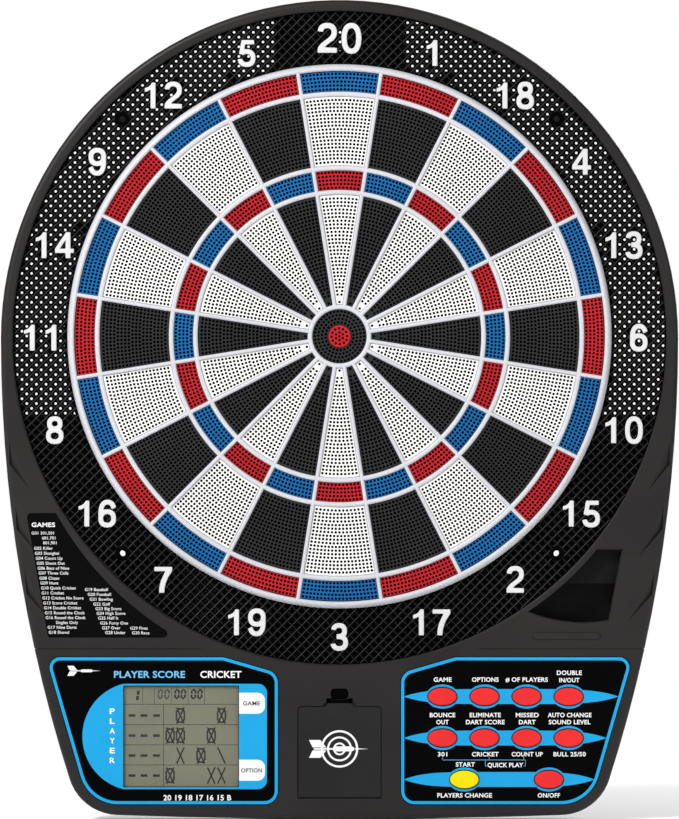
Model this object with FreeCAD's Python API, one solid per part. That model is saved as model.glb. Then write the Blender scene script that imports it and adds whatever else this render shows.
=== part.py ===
"""Electronic soft-tip dartboard with a scoring display, for hanging on a wall.

Frame: millimetres, +Z up, +X to the right as a player sees it, and the players stand at -Y.
The origin is on the bull's-eye axis, on the wall plane that the back rests on.
A "depth" below is a distance out from that wall, so a point at depth d has y = -d.
"""
import math
import os

import FreeCAD
import Part

V = FreeCAD.Vector

# ---------------------------------------------------------------- driving dimensions (mm)
# target face: a regulation 15.5 inch soft-tip target
TARGET_R = 393.7 / 2
DOUBLE_R = (176.8, 191.2)
OUTER_SINGLE_R = (123.3, 173.3)
TRIPLE_R = (105.8, 119.9)
INNER_SINGLE_R = (23.0, 102.4)
BULL_OUTER_R = (8.3, 19.6)
SECTORS = 20
HALF_SECTOR = 180.0 / SECTORS
WEB_W = 2.8
PLAY = 0.2
CLOCKWISE = (20, 1, 18, 4, 13, 6, 10, 15, 2, 17, 3, 19, 7, 16, 8, 11, 14, 9, 12, 5)

# case outline: a circle on top, gently bowed flanks, rounded lower corners, a bowed lower edge
CASE_R = 244.75
CASE_DROP = 1.7
FLANK_R = 1045.0
BOTTOM_R = 4500.0
BOTTOM_Z = -348.8
CORNER_R = 37.0
WALL = 3.0
COVER_GAP = 0.3
SEAM_Z = (-226.1, -225.4)
GILL_TOPS = (-75.5, -122.4, -169.3)
GILL_DEPTH = 3.0

# depths out from the wall
COVER_T = 2.0
WELL_TOP = 12.0
FOAM = (14.0, 17.0)
FILMS = ((17.0, 17.2), (17.3, 17.5))
SPIDER_BACK = 17.6
SEGMENT = (18.8, 31.0)
SEGMENT_TRAVEL = 1.2
WEB = (19.2, 32.6)
SPIDER_FRONT = 33.0
LEDGE = (22.0, 25.0)
CATCH = (25.0, 28.0)
DECK = (29.0, 32.0)
NUMERAL_T = 1.5
FASCIA_T = 1.2

# catch ring, the hatched field round the target that takes stray darts
CATCH_R = 236.2
CATCH_DROP = 1.0
COLLAR_T = 2.0
LEDGE_W = 1.2
RING_WALL_T = 2.5
FOAM_R = 189.0
OPEN_ABOVE_Z = -57.0
BRIDGE_HALF_W = 47.0

# fastening
WALL_SCREW_XZ = 157.0
WALL_SCREW_R = 2.25
WALL_BOSS_R = 5.0
KEYHOLE_Z = 212.0
KEYHOLE_R = 4.5
KEYHOLE_SLOT_R = 2.3
KEYHOLE_RISE = 8.0
SHANK_R = 1.45
SHANK_L = 12.0
PILOT_R = 1.5
SHANK_HOLE_R = 1.65
HEAD_R = 2.8
HEAD_T = 2.0
WELL_R = 4.6
WELL_BORE_R = 3.1
HEAD_SEAT = 9.6
BOSS_R = 3.6

# numerals of the catch ring
NUMERAL_R = 216.3
NUMERAL_H = 18.8
TOP_NUMERAL_H = 20.9
NUMERAL_PITCH = 0.83
STROKE = 0.18

# scoring panel, below the target
PANEL_TOP = -231.2
PANEL_SHOULDER = -242.9
PANEL_BOTTOM = -338.6
PANEL_INNER_X = 43.9
PANEL_SHOULDER_X = 83.7
PANEL_OUTER_TOP_X = 212.7
PANEL_OUTER_LOW_X = 181.6
PANEL_LOW_R = 28.8
LCD_X = -114.4
LCD_Z = -289.05
LCD_W = 83.8
LCD_H = 73.7

# keys
KEY_X = 74.35
KEY_PITCH_X = 30.4
KEY_Z = -260.2
KEY_PITCH_Z = 29.95
KEY_A = 10.35
KEY_B = 6.35
KEY_FRONT = 33.4
KEY_TRAVEL = 1.0
KEYS = {
    "button_game": (0.0, 0), "button_options": (1.0, 0), "button_players": (2.0, 0),
    "button_double": (3.0, 0), "button_bounce": (0.0, 1), "button_eliminate": (1.0, 1),
    "button_missed": (2.0, 1), "button_sound": (3.0, 1),
    "button_start": (0.52, 2), "button_power": (2.53, 2),
}

# battery compartment
DOOR_W = 59.6
DOOR_TOP = -267.7
DOOR_BOTTOM = -333.3
DOOR_T = 2.0
DOOR_GAP = 0.6
DOOR_CORNER_R = 2.5
PIN_R = 0.7
PIN_PLAY = 0.08
PIN_L = 2.0
TRAY_W = 58.0
TRAY_Z = (-332.5, -268.5)
TRAY_BACK = 6.0
TRAY_T = 1.5
CELL_R = 7.1
CELL_L = 50.0
CELL_PITCH = 16.5

# speaker
SPEAKER_XZ = (-115.0, -290.0)
SPEAKER_R = 25.0
SPEAKER_TAB = 8.4

# screw places on the case, and the ribbon tail of the contact films
CASE_SCREWS = ((220.0, -125.0), (207.0, -225.0), (178.0, -318.0), (36.0, -339.0), (40.0, 231.0))
TAIL_X = (-112.0, -88.0)
TAIL_END_Z = -250.0


# ---------------------------------------------------------------- shape helpers
def cylinder(radius, back, front, x=0.0, z=0.0):
    return Part.makeCylinder(radius, front - back, V(x, -back, z), V(0, -1, 0))


def ring(outer, inner, back, front, x=0.0, z=0.0):
    return cylinder(outer, back, front, x, z).cut(cylinder(inner, back, front, x, z))


def box(x0, x1, z0, z1, back, front):
    return Part.makeBox(x1 - x0, front - back, z1 - z0, V(x0, -front, z0))


def prism(face, back, front):
    solid = face.extrude(V(0, back - front, 0))
    solid.translate(V(0, -back, 0))
    return solid


def polar(radius, degrees, centre=(0.0, 0.0)):
    angle = math.radians(degrees)
    return (centre[0] + radius * math.cos(angle), centre[1] + radius * math.sin(angle))


def point(xz):
    return V(xz[0], 0, xz[1])


def arc(start, middle, end):
    return Part.Arc(point(start), point(middle), point(end)).toShape()


def line(start, end):
    return Part.LineSegment(point(start), point(end)).toShape()


def rounded_face(corners):
    """Face of a polygon whose corners are (x, z, radius)."""
    edges = []
    ends = []
    count = len(corners)
    for i, (x, z, radius) in enumerate(corners):
        here = V(x, 0, z)
        before = point(corners[i - 1][:2]) - here
        after = point(corners[(i + 1) % count][:2]) - here
        before.normalize()
        after.normalize()
        half = before.getAngle(after) / 2
        reach = radius / math.tan(half)
        inward = before + after
        inward.normalize()
        centre = here + inward * (radius / math.sin(half))
        start = here + before * reach
        end = here + after * reach
        if radius > 0:
            edges.append(Part.Arc(start, centre - inward * radius, end).toShape())
        ends.append((start, end))
    for i in range(count):
        start = ends[i - 1][1]
        end = ends[i][0]
        if start.distanceToPoint(end) > 1e-6:
            edges.append(Part.LineSegment(start, end).toShape())
    return Part.Face(Part.Wire(Part.__sortEdges__(edges)))


def rounded_box(x0, x1, z0, z1, radius, back, front):
    corners = [(x0, z0, radius), (x1, z0, radius), (x1, z1, radius), (x0, z1, radius)]
    return prism(rounded_face(corners), back, front)


def oval(a, b, back, front, x, z):
    ellipse = Part.Ellipse(V(x, 0, z), a, b)
    ellipse.Axis = V(0, -1, 0)
    return prism(Part.Face(Part.Wire([ellipse.toShape()])), back, front)


def fuse(shapes):
    return shapes[0].multiFuse(shapes[1:]).removeSplitter()


def both_sides(places):
    return [(sign * x, z) for x, z in places for sign in (1, -1)]


def one_solid(shape):
    """The shape itself where a boolean has wrapped its one solid in a compound."""
    return shape.Solids[0] if len(shape.Solids) == 1 else shape


# ---------------------------------------------------------------- case outline
FLANK_C = (CASE_R - FLANK_R, -CASE_DROP)
BOTTOM_C = (0.0, BOTTOM_Z + BOTTOM_R)


def corner_centre():
    """Centre of the right lower corner: where two circles about the neighbours' centres meet."""
    from_flank = FLANK_R - CORNER_R
    from_bottom = BOTTOM_R - CORNER_R
    across = point(BOTTOM_C) - point(FLANK_C)
    apart = across.Length
    along = (apart ** 2 + from_flank ** 2 - from_bottom ** 2) / (2 * apart)
    aside = math.sqrt(from_flank ** 2 - along ** 2)
    unit = across / apart
    place = point(FLANK_C) + unit * along + V(unit.z, 0, -unit.x) * aside
    return (place.x, place.z)


CORNER_C = corner_centre()


def case_face(inset):
    """The case's outline, moved inwards by inset."""
    def beyond(centre, radius):
        direction = point(CORNER_C) - point(centre)
        direction.normalize()
        place = point(centre) + direction * radius
        return (place.x, place.z)

    def mirrored(xz):
        return (-xz[0], xz[1])

    widest = (CASE_R - inset, -CASE_DROP)
    flank_end = beyond(FLANK_C, FLANK_R - inset)
    bottom_end = beyond(BOTTOM_C, BOTTOM_R - inset)
    flank_angle = math.degrees(math.atan2(flank_end[1] - FLANK_C[1], flank_end[0] - FLANK_C[0]))
    flank_mid = polar(FLANK_R - inset, flank_angle / 2, FLANK_C)
    outward = (point(flank_end) - point(CORNER_C)) + (point(bottom_end) - point(CORNER_C))
    outward.normalize()
    corner_mid = point(CORNER_C) + outward * (CORNER_R - inset)
    corner_mid = (corner_mid.x, corner_mid.z)
    edges = [
        arc(mirrored(widest), (0.0, CASE_R - inset - CASE_DROP), widest),
        arc(widest, flank_mid, flank_end),
        arc(flank_end, corner_mid, bottom_end),
        arc(bottom_end, (0.0, BOTTOM_Z + inset), mirrored(bottom_end)),
        arc(mirrored(bottom_end), mirrored(corner_mid), mirrored(flank_end)),
        arc(mirrored(flank_end), mirrored(flank_mid), mirrored(widest)),
    ]
    return Part.Face(Part.Wire(edges))


def panel_face(sign, inset=0.0):
    """Outline of a printed panel: sign 1 is the key panel, -1 the display panel."""
    corners = [
        (PANEL_INNER_X + inset, PANEL_SHOULDER, 10.0),
        (PANEL_SHOULDER_X, PANEL_TOP - inset, 10.0),
        (PANEL_OUTER_TOP_X - inset, PANEL_TOP - inset, 8.0),
        (PANEL_OUTER_LOW_X - inset, PANEL_BOTTOM + inset, PANEL_LOW_R),
        (PANEL_INNER_X + inset, PANEL_BOTTOM + inset, 10.0),
    ]
    return rounded_face([(sign * x, z, radius) for x, z, radius in corners])


def key_places():
    return {name: (KEY_X + column * KEY_PITCH_X, KEY_Z - row * KEY_PITCH_Z)
            for name, (column, row) in KEYS.items()}


# ---------------------------------------------------------------- dart pocket and games card
POCKET_R = 241.3
POCKET_BEVEL = 0.9
CARD_CORNERS = ((-226.3, -127.6, 3.0), (-204.7, -127.6, 1.0), (-172.8, -182.1, 235.0),
                (-117.0, -217.7, 3.0), (-210.6, -217.7, 2.0))
GRIP = (139.7, 188.4, -218.9, -214.0)
GRIP_RISE = 1.2


def pocket_face():
    """Mouth of the dart pocket, a three-cornered hole beside the target."""
    top_inner = (185.6, -154.2)
    low_inner = (136.5, -198.7)
    bend = polar(POCKET_R, -47.6)
    edges = [
        line(top_inner, (204.0, -154.2)),
        line((204.0, -154.2), (194.2, -204.9)),
        arc((194.2, -204.9), (169.5, -206.4), low_inner),
        arc(low_inner, bend, top_inner),
    ]
    return Part.Face(Part.Wire(edges))


def card_face():
    """The games card: three straight sides and one that follows the catch ring."""
    return rounded_face(CARD_CORNERS)


# ---------------------------------------------------------------- screws and their seats
def spider_screw_places():
    return [polar((DOUBLE_R[1] + TARGET_R) / 2, 36.0 * k) for k in range(10)]


def catch_screw_places():
    return [polar(TARGET_R + 6.3, 22.5 + 45.0 * k) for k in range(8)]


def case_screw_places():
    return both_sides(CASE_SCREWS)


def all_screw_places():
    return spider_screw_places() + catch_screw_places() + case_screw_places()


def screw(x, z):
    """Pan-head self-tapping screw, driven from behind, with a cross recess; threads left out."""
    body = cylinder(HEAD_R, HEAD_SEAT - HEAD_T, HEAD_SEAT, x, z)
    body = body.fuse(cylinder(SHANK_R, HEAD_SEAT, HEAD_SEAT + SHANK_L - 2, x, z))
    tip = Part.makeCone(SHANK_R, 0.3, 2, V(x, -(HEAD_SEAT + SHANK_L - 2), z), V(0, -1, 0))
    slot_depth = HEAD_SEAT - HEAD_T
    for half_x, half_z in ((1.6, 0.35), (0.35, 1.6)):
        body = body.cut(box(x - half_x, x + half_x, z - half_z, z + half_z,
                            slot_depth, slot_depth + 1.1))
    return body.fuse(tip).removeSplitter()


def screws():
    return Part.Compound([one_solid(screw(x, z)) for x, z in all_screw_places()])


def pilot(x, z):
    return cylinder(PILOT_R, WELL_TOP - 1, HEAD_SEAT + SHANK_L + 1, x, z)


# ---------------------------------------------------------------- outer pieces
def front_housing():
    """Rim, flanks and front deck, one moulding that everything else is screwed into."""
    shell = prism(case_face(0.0), 0.0, DECK[1])
    front_edges = [edge for edge in shell.Edges
                   if abs(edge.BoundBox.YMin + DECK[1]) < 1e-6 and edge.BoundBox.YLength < 1e-6]
    shell = shell.makeFillet(3.6, front_edges)
    shell = shell.cut(prism(case_face(WALL), -1.0, DECK[0]))
    shell = shell.cut(cylinder(CATCH_R, -1.0, DECK[1] + 1, 0, -CATCH_DROP))
    lip = Part.makeCone(CATCH_R, CATCH_R + 1.4, 1.2, V(0, -DECK[1] + 1.0, -CATCH_DROP), V(0, -1, 0))
    shell = shell.cut(lip)
    adds = [
        ring(CATCH_R + RING_WALL_T, CATCH_R, LEDGE[0], DECK[0] + 0.5, 0, -CATCH_DROP),
        ring(CATCH_R + RING_WALL_T, CATCH_R - LEDGE_W, LEDGE[0], LEDGE[1], 0, -CATCH_DROP),
    ]
    for x, z in case_screw_places():
        adds.append(cylinder(BOSS_R, WELL_TOP, (LEDGE if z > 0 else DECK)[0] + 0.5, x, z))
    for x, z in key_board_posts() + main_board_posts():
        adds.append(cylinder(2.0, BOARD[1], DECK[0] + 0.5, x, z))
        adds.append(cylinder(1.1, BOARD[0] - 0.8, BOARD[1], x, z))
    adds.append(grip_bar())
    shell = fuse([shell] + adds)

    cuts = [
        prism(panel_face(1), DECK[1] - FASCIA_T, DECK[1] + 1),
        prism(panel_face(-1), DECK[1] - FASCIA_T, DECK[1] + 1),
        rounded_box(LCD_X - LCD_W / 2 - 2.2, LCD_X + LCD_W / 2 + 2.2,
                    LCD_Z - LCD_H / 2 - 2.2, LCD_Z + LCD_H / 2 + 2.2, 1.0, DECK[0] - 1, DECK[1]),
        prism(pocket_face(), DECK[0] - 1, DECK[1] + 1),
        prism(card_face(), DECK[1] - 0.6, DECK[1] + 1),
    ]
    cuts += [oval(KEY_A + 0.4, KEY_B + 0.4, DECK[0] - 1, DECK[1], x, z)
             for x, z in key_places().values()]
    cuts += battery_opening()
    cuts += [pilot(x, z) for x, z in case_screw_places()]
    # parting groove between the target frame and the scoring panel, with a notch in the rim
    for sign in (1, -1):
        inner, outer = sorted((sign * 100.0, sign * 240.0))
        cuts.append(box(inner, outer, *SEAM_Z, DECK[1] - 0.6, DECK[1] + 1))
        inner, outer = sorted((sign * (flank_x(SEAM_Z[0]) - 0.7), sign * 240.0))
        cuts.append(box(inner, outer, *SEAM_Z, 3.0, DECK[1] + 1))
    cuts += [gill(sign, top) for sign in (1, -1) for top in GILL_TOPS]
    for cutter in cuts:
        shell = shell.cut(cutter)
    return shell.makeChamfer(POCKET_BEVEL, pocket_rim(shell))


def grip_bar():
    """Raised bar with a rounded front, below the dart pocket."""
    bar = rounded_box(*GRIP, (GRIP[3] - GRIP[2]) / 2 - 0.05, DECK[0] + 0.5, DECK[1] + GRIP_RISE)
    rim = [edge for edge in bar.Edges if abs(edge.BoundBox.YMax + DECK[1] + GRIP_RISE) < 1e-6]
    return bar.makeFillet(0.9, rim)


def pocket_rim(shell):
    """Front edges of the dart pocket's mouth, without the one that follows the catch ring."""
    low_z, high_z = -207.0, -154.1
    rim = []
    for edge in shell.Edges:
        bounds = edge.BoundBox
        flat = abs(bounds.YMin + DECK[1]) < 1e-6 and bounds.YLength < 1e-6
        beside = bounds.XMin > 136.0 and bounds.XMax < 205.0 and bounds.ZMin > low_z and bounds.ZMax < high_z
        outside = math.hypot(edge.CenterOfMass.x, edge.CenterOfMass.z) > POCKET_R + 1.5
        if flat and beside and outside:
            rim.append(edge)
    return rim


def flank_x(z):
    """How far out the flank is at height z."""
    return FLANK_C[0] + math.sqrt(FLANK_R ** 2 - (z + CASE_DROP) ** 2)


def gill(sign, top):
    """Cutter for one blade-shaped gill: it deepens from a long crease to a pocket at the rim."""
    places = [(flank_x(z) - inset, z) for inset, z in ((3.6, top), (2.4, top - 17), (16.7, top - 37))]
    start, pocket, tail = [(sign * x, z) for x, z in places]
    corners = [
        V(start[0], -DECK[1], start[1]),
        V(tail[0], -DECK[1], tail[1]),
        V(pocket[0], -DECK[1] + GILL_DEPTH, pocket[1]),
        V(pocket[0], -DECK[1] - 1, pocket[1]),
    ]
    faces = []
    for skipped in range(4):
        a, b, c = [corner for i, corner in enumerate(corners) if i != skipped]
        faces.append(Part.Face(Part.makePolygon([a, b, c, a])))
    solid = Part.Solid(Part.Shell(faces))
    if solid.Volume < 0:
        solid.reverse()
    return solid


def battery_opening():
    """Cutters for the door's seat, the way in to the cells, the latch slot and the finger well."""
    half = DOOR_W / 2 + DOOR_GAP
    axis_z = DOOR_BOTTOM + DOOR_T / 2
    axis_depth = DECK[1] - DOOR_T / 2
    seat = DECK[1] - DOOR_T - 0.1
    corner_r = DOOR_CORNER_R + DOOR_GAP
    outline = rounded_face([(-half, DOOR_BOTTOM - DOOR_GAP, 0.6), (half, DOOR_BOTTOM - DOOR_GAP, 0.6),
                            (half, DOOR_TOP + DOOR_GAP, corner_r), (-half, DOOR_TOP + DOOR_GAP, corner_r)])
    cuts = [
        prism(outline, seat, DECK[1] + 1),
        box(-26.5, 26.5, -330.0, -271.0, DECK[0] - 1, DECK[1]),
        box(-11.6, 11.6, DOOR_TOP - 1, -264.6, seat, DECK[1] + 1),
        rounded_box(-9.6, 9.6, -265.4, -261.4, 1.0, DECK[0] - 1, DECK[1] + 1),
        rounded_box(-6.5, 6.5, -262.0, -254.4, 3.0, DECK[1] - 1.8, DECK[1] + 1),
    ]
    pin_room = PIN_L + DOOR_GAP + 0.4
    for start in (-half - pin_room, half - 0.5):
        cuts.append(Part.makeCylinder(PIN_R + PIN_PLAY, pin_room + 0.5,
                                      V(start, -axis_depth, axis_z), V(1, 0, 0)))
    return cuts


def catch_ring():
    """Round field about the target, with the four wall-screw tubes and a collar behind."""
    inner = TARGET_R + 0.25
    adds = [ring(CATCH_R - 0.2, inner, CATCH[0], CATCH[1], 0, -CATCH_DROP)]
    adds.append(ring(inner + COLLAR_T, inner, WELL_TOP, CATCH[0] + 0.5))
    adds += [cylinder(BOSS_R, WELL_TOP, CATCH[0] + 0.5, x, z) for x, z in catch_screw_places()]
    places = [(sx * WALL_SCREW_XZ, sz * WALL_SCREW_XZ) for sx in (1, -1) for sz in (1, -1)]
    adds += [cylinder(WALL_BOSS_R, 0.0, CATCH[0] + 0.5, x, z) for x, z in places]
    body = fuse(adds)
    cuts = [cylinder(inner, CATCH[0] - 1, CATCH[1] + 1)]
    cuts += [cylinder(WALL_SCREW_R, -1.0, CATCH[1] + 1, x, z) for x, z in places]
    cuts += [pilot(x, z) for x, z in catch_screw_places()]
    cuts.append(box(TAIL_X[0] - 1, TAIL_X[1] + 1, -200.0, -150.0, FILMS[0][0] - 0.6, SPIDER_BACK + 0.6))
    for cutter in cuts:
        body = body.cut(cutter)
    return body


def rear_cover():
    """Back of the case: a round pan behind the target, the hanger bridge, and the panel's back."""
    pan_r = TARGET_R + 0.25 + COLLAR_T
    inside = case_face(WALL + COVER_GAP)
    lower = prism(inside, 0.0, COVER_T).common(box(-300, 300, -400, OPEN_ABOVE_Z, -1, 5))
    bridge = prism(inside, 0.0, COVER_T).common(box(-BRIDGE_HALF_W, BRIDGE_HALF_W, 150, 300, -1, 5))
    adds = [cylinder(pan_r, 0.0, COVER_T), lower, bridge]
    adds.append(ring(pan_r, pan_r - COLLAR_T, 0.0, WELL_TOP))
    adds.append(ring(TARGET_R - 0.1, DOUBLE_R[1] + 0.3, 0.0, SPIDER_BACK))
    # ribs that carry the foam pad
    for radius in (30.0, 70.0, 110.0, 150.0, 186.0):
        adds.append(ring(radius, radius - 1.8, COVER_T - 0.5, FOAM[0]))
    for k in range(12):
        rib = box(28.5, 185.0, -0.9, 0.9, COVER_T - 0.5, FOAM[0])
        rib.rotate(V(0, 0, 0), V(0, 1, 0), 30.0 * k)
        adds.append(rib)
    adds += dust_walls()
    adds += [cylinder(WELL_R, 0.0, WELL_TOP, x, z) for x, z in all_screw_places()]
    body = fuse(adds)

    cuts = []
    for x, z in all_screw_places():
        cuts.append(cylinder(WELL_BORE_R, -1.0, HEAD_SEAT, x, z))
        cuts.append(cylinder(SHANK_HOLE_R, HEAD_SEAT - 1, SPIDER_BACK + 1, x, z))
    cuts += [cylinder(WALL_BOSS_R + 0.3, -1, 5, x, z)
             for x, z in both_sides([(WALL_SCREW_XZ, -WALL_SCREW_XZ)])]
    cuts += keyhole()
    cuts.append(box(TAIL_X[0] - 1, TAIL_X[1] + 1, -200.0, -150.0, FILMS[0][0] - 0.6, SPIDER_BACK + 1))
    cuts += speaker_grille()
    # shallow rings moulded into the back
    for radius in (64.0, 104.0, 144.0, 180.0):
        cuts.append(ring(radius, radius - 3.0, -1.0, 0.6))
    for cutter in cuts:
        body = body.cut(cutter)
    return body


def dust_walls():
    """Upright walls that close the lower compartment and the hanger bridge to the sides."""
    walls = []
    for sign in (1, -1):
        inner, outer = sorted((sign * 186.0, sign * (flank_x(OPEN_ABOVE_Z) - WALL - 0.8)))
        walls.append(box(inner, outer, OPEN_ABOVE_Z - 1.6, OPEN_ABOVE_Z, COVER_T - 0.5, CATCH[0] - 0.2))
        inner, outer = sorted((sign * (BRIDGE_HALF_W - 1.6), sign * BRIDGE_HALF_W))
        walls.append(box(inner, outer, 190.0, 226.5, COVER_T - 0.5, CATCH[0] - 0.2))
    collar_room = cylinder(TARGET_R + 0.45 + COLLAR_T, COVER_T, CATCH[0])
    ledge_room = ring(CATCH_R + 10, CATCH_R - LEDGE_W - 0.3, LEDGE[0] - 0.2, CATCH[0], 0, -CATCH_DROP)
    foot = ring(TARGET_R + 0.45 + COLLAR_T, TARGET_R + 0.75, COVER_T - 0.5, WELL_TOP - 1)
    return [wall.cut(collar_room).cut(ledge_room).fuse(wall.common(foot)) for wall in walls]


def keyhole():
    top = KEYHOLE_Z + KEYHOLE_RISE
    return [
        cylinder(KEYHOLE_R, -1.0, 5.0, 0, KEYHOLE_Z),
        cylinder(KEYHOLE_SLOT_R, -1.0, 5.0, 0, top),
        box(-KEYHOLE_SLOT_R, KEYHOLE_SLOT_R, KEYHOLE_Z, top, -1.0, 5.0),
    ]


def speaker_grille():
    x, z = SPEAKER_XZ
    holes = [cylinder(1.4, -1.0, 5.0, x, z)]
    for turn in range(1, 5):
        for k in range(6 * turn):
            hx, hz = polar(4.6 * turn, 60.0 * k / turn, SPEAKER_XZ)
            holes.append(cylinder(1.4, -1.0, 5.0, hx, hz))
    return holes


# ---------------------------------------------------------------- numerals
def stroke_line(x0, z0, x1, z1):
    along = V(x1 - x0, 0, z1 - z0)
    side = V(-along.z, 0, along.x)
    side.normalize()
    side = side * (STROKE / 2)
    a = V(x0, 0, z0)
    b = V(x1, 0, z1)
    return Part.Face(Part.makePolygon([a + side, b + side, b - side, a - side, a + side]))


def stroke_arc(cx, cz, radius, start, end):
    """Curved stroke, counter-clockwise from start to end degrees."""
    outer = radius + STROKE / 2
    inner = radius - STROKE / 2
    centre = (cx, cz)
    if end - start >= 360:
        disc = Part.Face(Part.Wire([Part.makeCircle(outer, V(cx, 0, cz), V(0, 1, 0))]))
        return disc.cut(Part.Face(Part.Wire([Part.makeCircle(inner, V(cx, 0, cz), V(0, 1, 0))])))
    middle = (start + end) / 2
    edges = [
        arc(polar(outer, start, centre), polar(outer, middle, centre), polar(outer, end, centre)),
        line(polar(outer, end, centre), polar(inner, end, centre)),
        arc(polar(inner, end, centre), polar(inner, middle, centre), polar(inner, start, centre)),
        line(polar(inner, start, centre), polar(outer, start, centre)),
    ]
    return Part.Face(Part.Wire(edges))


# each digit is a list of strokes in a box one unit high, as ("line", x0, z0, x1, z1)
# or ("arc", centre x, centre z, radius, start angle, end angle), then where the figure starts
# in its cell and how wide it is
DIGITS = {
    "0": ([("arc", .345, .655, .255, 0, 180), ("arc", .345, .345, .255, 180, 360),
           ("line", .09, .345, .09, .655), ("line", .60, .345, .60, .655)], .07, .69),
    "1": ([("line", .33, 0, .33, 1.0), ("line", .03, .70, .30, .86)], .14, .42),
    "2": ([("arc", .345, .68, .23, 0, 172), ("arc", .305, .68, .27, -50, 0),
           ("line", .48, .475, .15, .15), ("line", .04, .09, .68, .09)], .07, .69),
    "3": ([("arc", .33, .705, .205, -80, 170), ("arc", .34, .315, .225, -172, 80)], .07, .67),
    "4": ([("line", .50, 0, .50, 1.0), ("line", .03, .29, .72, .29), ("line", .09, .27, .48, .92)],
          .05, .73),
    "5": ([("arc", .335, .32, .23, -165, 130), ("line", .15, .45, .20, .95),
           ("line", .16, .91, .62, .91)], .07, .68),
    "6": ([("arc", .345, .315, .225, 0, 360), ("line", .12, .315, .12, .65),
           ("arc", .36, .67, .24, 20, 188)], .07, .68),
    "7": ([("line", .03, .91, .69, .91), ("line", .60, .86, .24, 0)], .06, .71),
    "8": ([("arc", .31, .725, .185, 90, 270), ("arc", .38, .725, .185, -90, 90),
           ("line", .31, .91, .38, .91), ("line", .31, .54, .38, .54),
           ("arc", .305, .30, .21, 90, 270), ("arc", .385, .30, .21, -90, 90),
           ("line", .305, .51, .385, .51), ("line", .305, .09, .385, .09)], .07, .69),
    "9": ([("arc", .335, .685, .225, 0, 360), ("line", .56, .35, .56, .685),
           ("arc", .32, .33, .24, 200, 368)], .07, .68),
}


def digit(symbol, height, x, z):
    strokes = DIGITS[symbol][0]
    makers = {"line": stroke_line, "arc": stroke_arc}
    faces = [makers[kind](*values) for kind, *values in strokes]
    solids = [face.extrude(V(0, -NUMERAL_T / height, 0)) for face in faces]
    shape = fuse(solids) if len(solids) > 1 else solids[0]
    shape.scale(height, V(0, 0, 0))
    shape.translate(V(x, -CATCH[1], z))
    return one_solid(shape)


def ring_numerals():
    """The twenty numbers, each centred by its figures beside its sector."""
    solids = []
    for place, number in enumerate(CLOCKWISE):
        height = TOP_NUMERAL_H if place == 0 else NUMERAL_H
        cx, cz = polar(NUMERAL_R, 90.0 - 2 * HALF_SECTOR * place, (0.0, -CATCH_DROP))
        text = str(number)
        starts = [NUMERAL_PITCH * k + DIGITS[symbol][1] for k, symbol in enumerate(text)]
        middle = (starts[0] + starts[-1] + DIGITS[text[-1]][2]) / 2
        for symbol, start in zip(text, starts):
            solids.append(digit(symbol, height, cx + (start - middle) * height, cz - height / 2))
    return Part.Compound(solids)


# ---------------------------------------------------------------- target
def sector_block(radii, place, back, front, half_gap):
    """A block of one sector, its sides parallel to the webs beside it."""
    inner, outer = radii[0] + PLAY, radii[1] - PLAY
    middle = 90.0 - 2 * HALF_SECTOR * place
    spread = {r: HALF_SECTOR - math.degrees(math.asin(half_gap / r)) for r in (inner, outer)}
    corners = {(r, side): polar(r, middle + side * spread[r]) for r in (inner, outer) for side in (1, -1)}
    edges = [
        arc(corners[outer, 1], polar(outer, middle), corners[outer, -1]),
        line(corners[outer, -1], corners[inner, -1]),
        arc(corners[inner, -1], polar(inner, middle), corners[inner, 1]),
        line(corners[inner, 1], corners[outer, 1]),
    ]
    return prism(Part.Face(Part.Wire(edges)), back, front)


def segment(radii, place):
    return sector_block(radii, place, SEGMENT[0], SEGMENT[1], WEB_W / 2 + PLAY)


def single(place):
    return Part.Compound([segment(OUTER_SINGLE_R, place), segment(INNER_SINGLE_R, place)])


def every_other(radii, first):
    return Part.Compound([segment(radii, place) for place in range(first, SECTORS, 2)])


def bull_outer():
    return ring(BULL_OUTER_R[1] - PLAY, BULL_OUTER_R[0] + PLAY, SEGMENT[0], SEGMENT[1])


def bull_inner():
    cap = cylinder(BULL_OUTER_R[0], SEGMENT[0], SEGMENT[1] + 0.3)
    rim = [edge for edge in cap.Edges if abs(edge.BoundBox.YMax + SEGMENT[1] + 0.3) < 1e-6]
    return cap.makeChamfer(0.4, rim)


def spider():
    """White web that frames every segment, with its heavy outer ring."""
    adds = [
        ring(TARGET_R, DOUBLE_R[1], SPIDER_BACK, SPIDER_FRONT),
        ring(DOUBLE_R[0], OUTER_SINGLE_R[1], WEB[0], WEB[1]),
        ring(OUTER_SINGLE_R[0], TRIPLE_R[1], WEB[0], WEB[1]),
        ring(TRIPLE_R[0], INNER_SINGLE_R[1], WEB[0], WEB[1]),
        ring(INNER_SINGLE_R[0], BULL_OUTER_R[1], WEB[0], WEB[1]),
    ]
    for k in range(SECTORS):
        web = box(INNER_SINGLE_R[0] - 1, DOUBLE_R[1] + 1, -WEB_W / 2, WEB_W / 2, WEB[0], WEB[1])
        web.rotate(V(0, 0, 0), V(0, 1, 0), HALF_SECTOR + 2 * HALF_SECTOR * k)
        adds.append(web)
    body = fuse(adds)
    for x, z in spider_screw_places():
        body = body.cut(pilot(x, z))
    return body


def foam_pad():
    return cylinder(FOAM_R, FOAM[0], FOAM[1])


def matrix_film():
    """Two printed contact films with a common ribbon tail down to the main board."""
    films = []
    for back, front in FILMS:
        tail = box(TAIL_X[0], TAIL_X[1], TAIL_END_Z, -140.0, back, front)
        films.append(one_solid(cylinder(FOAM_R, back, front).fuse(tail).removeSplitter()))
    return Part.Compound(films)


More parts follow.
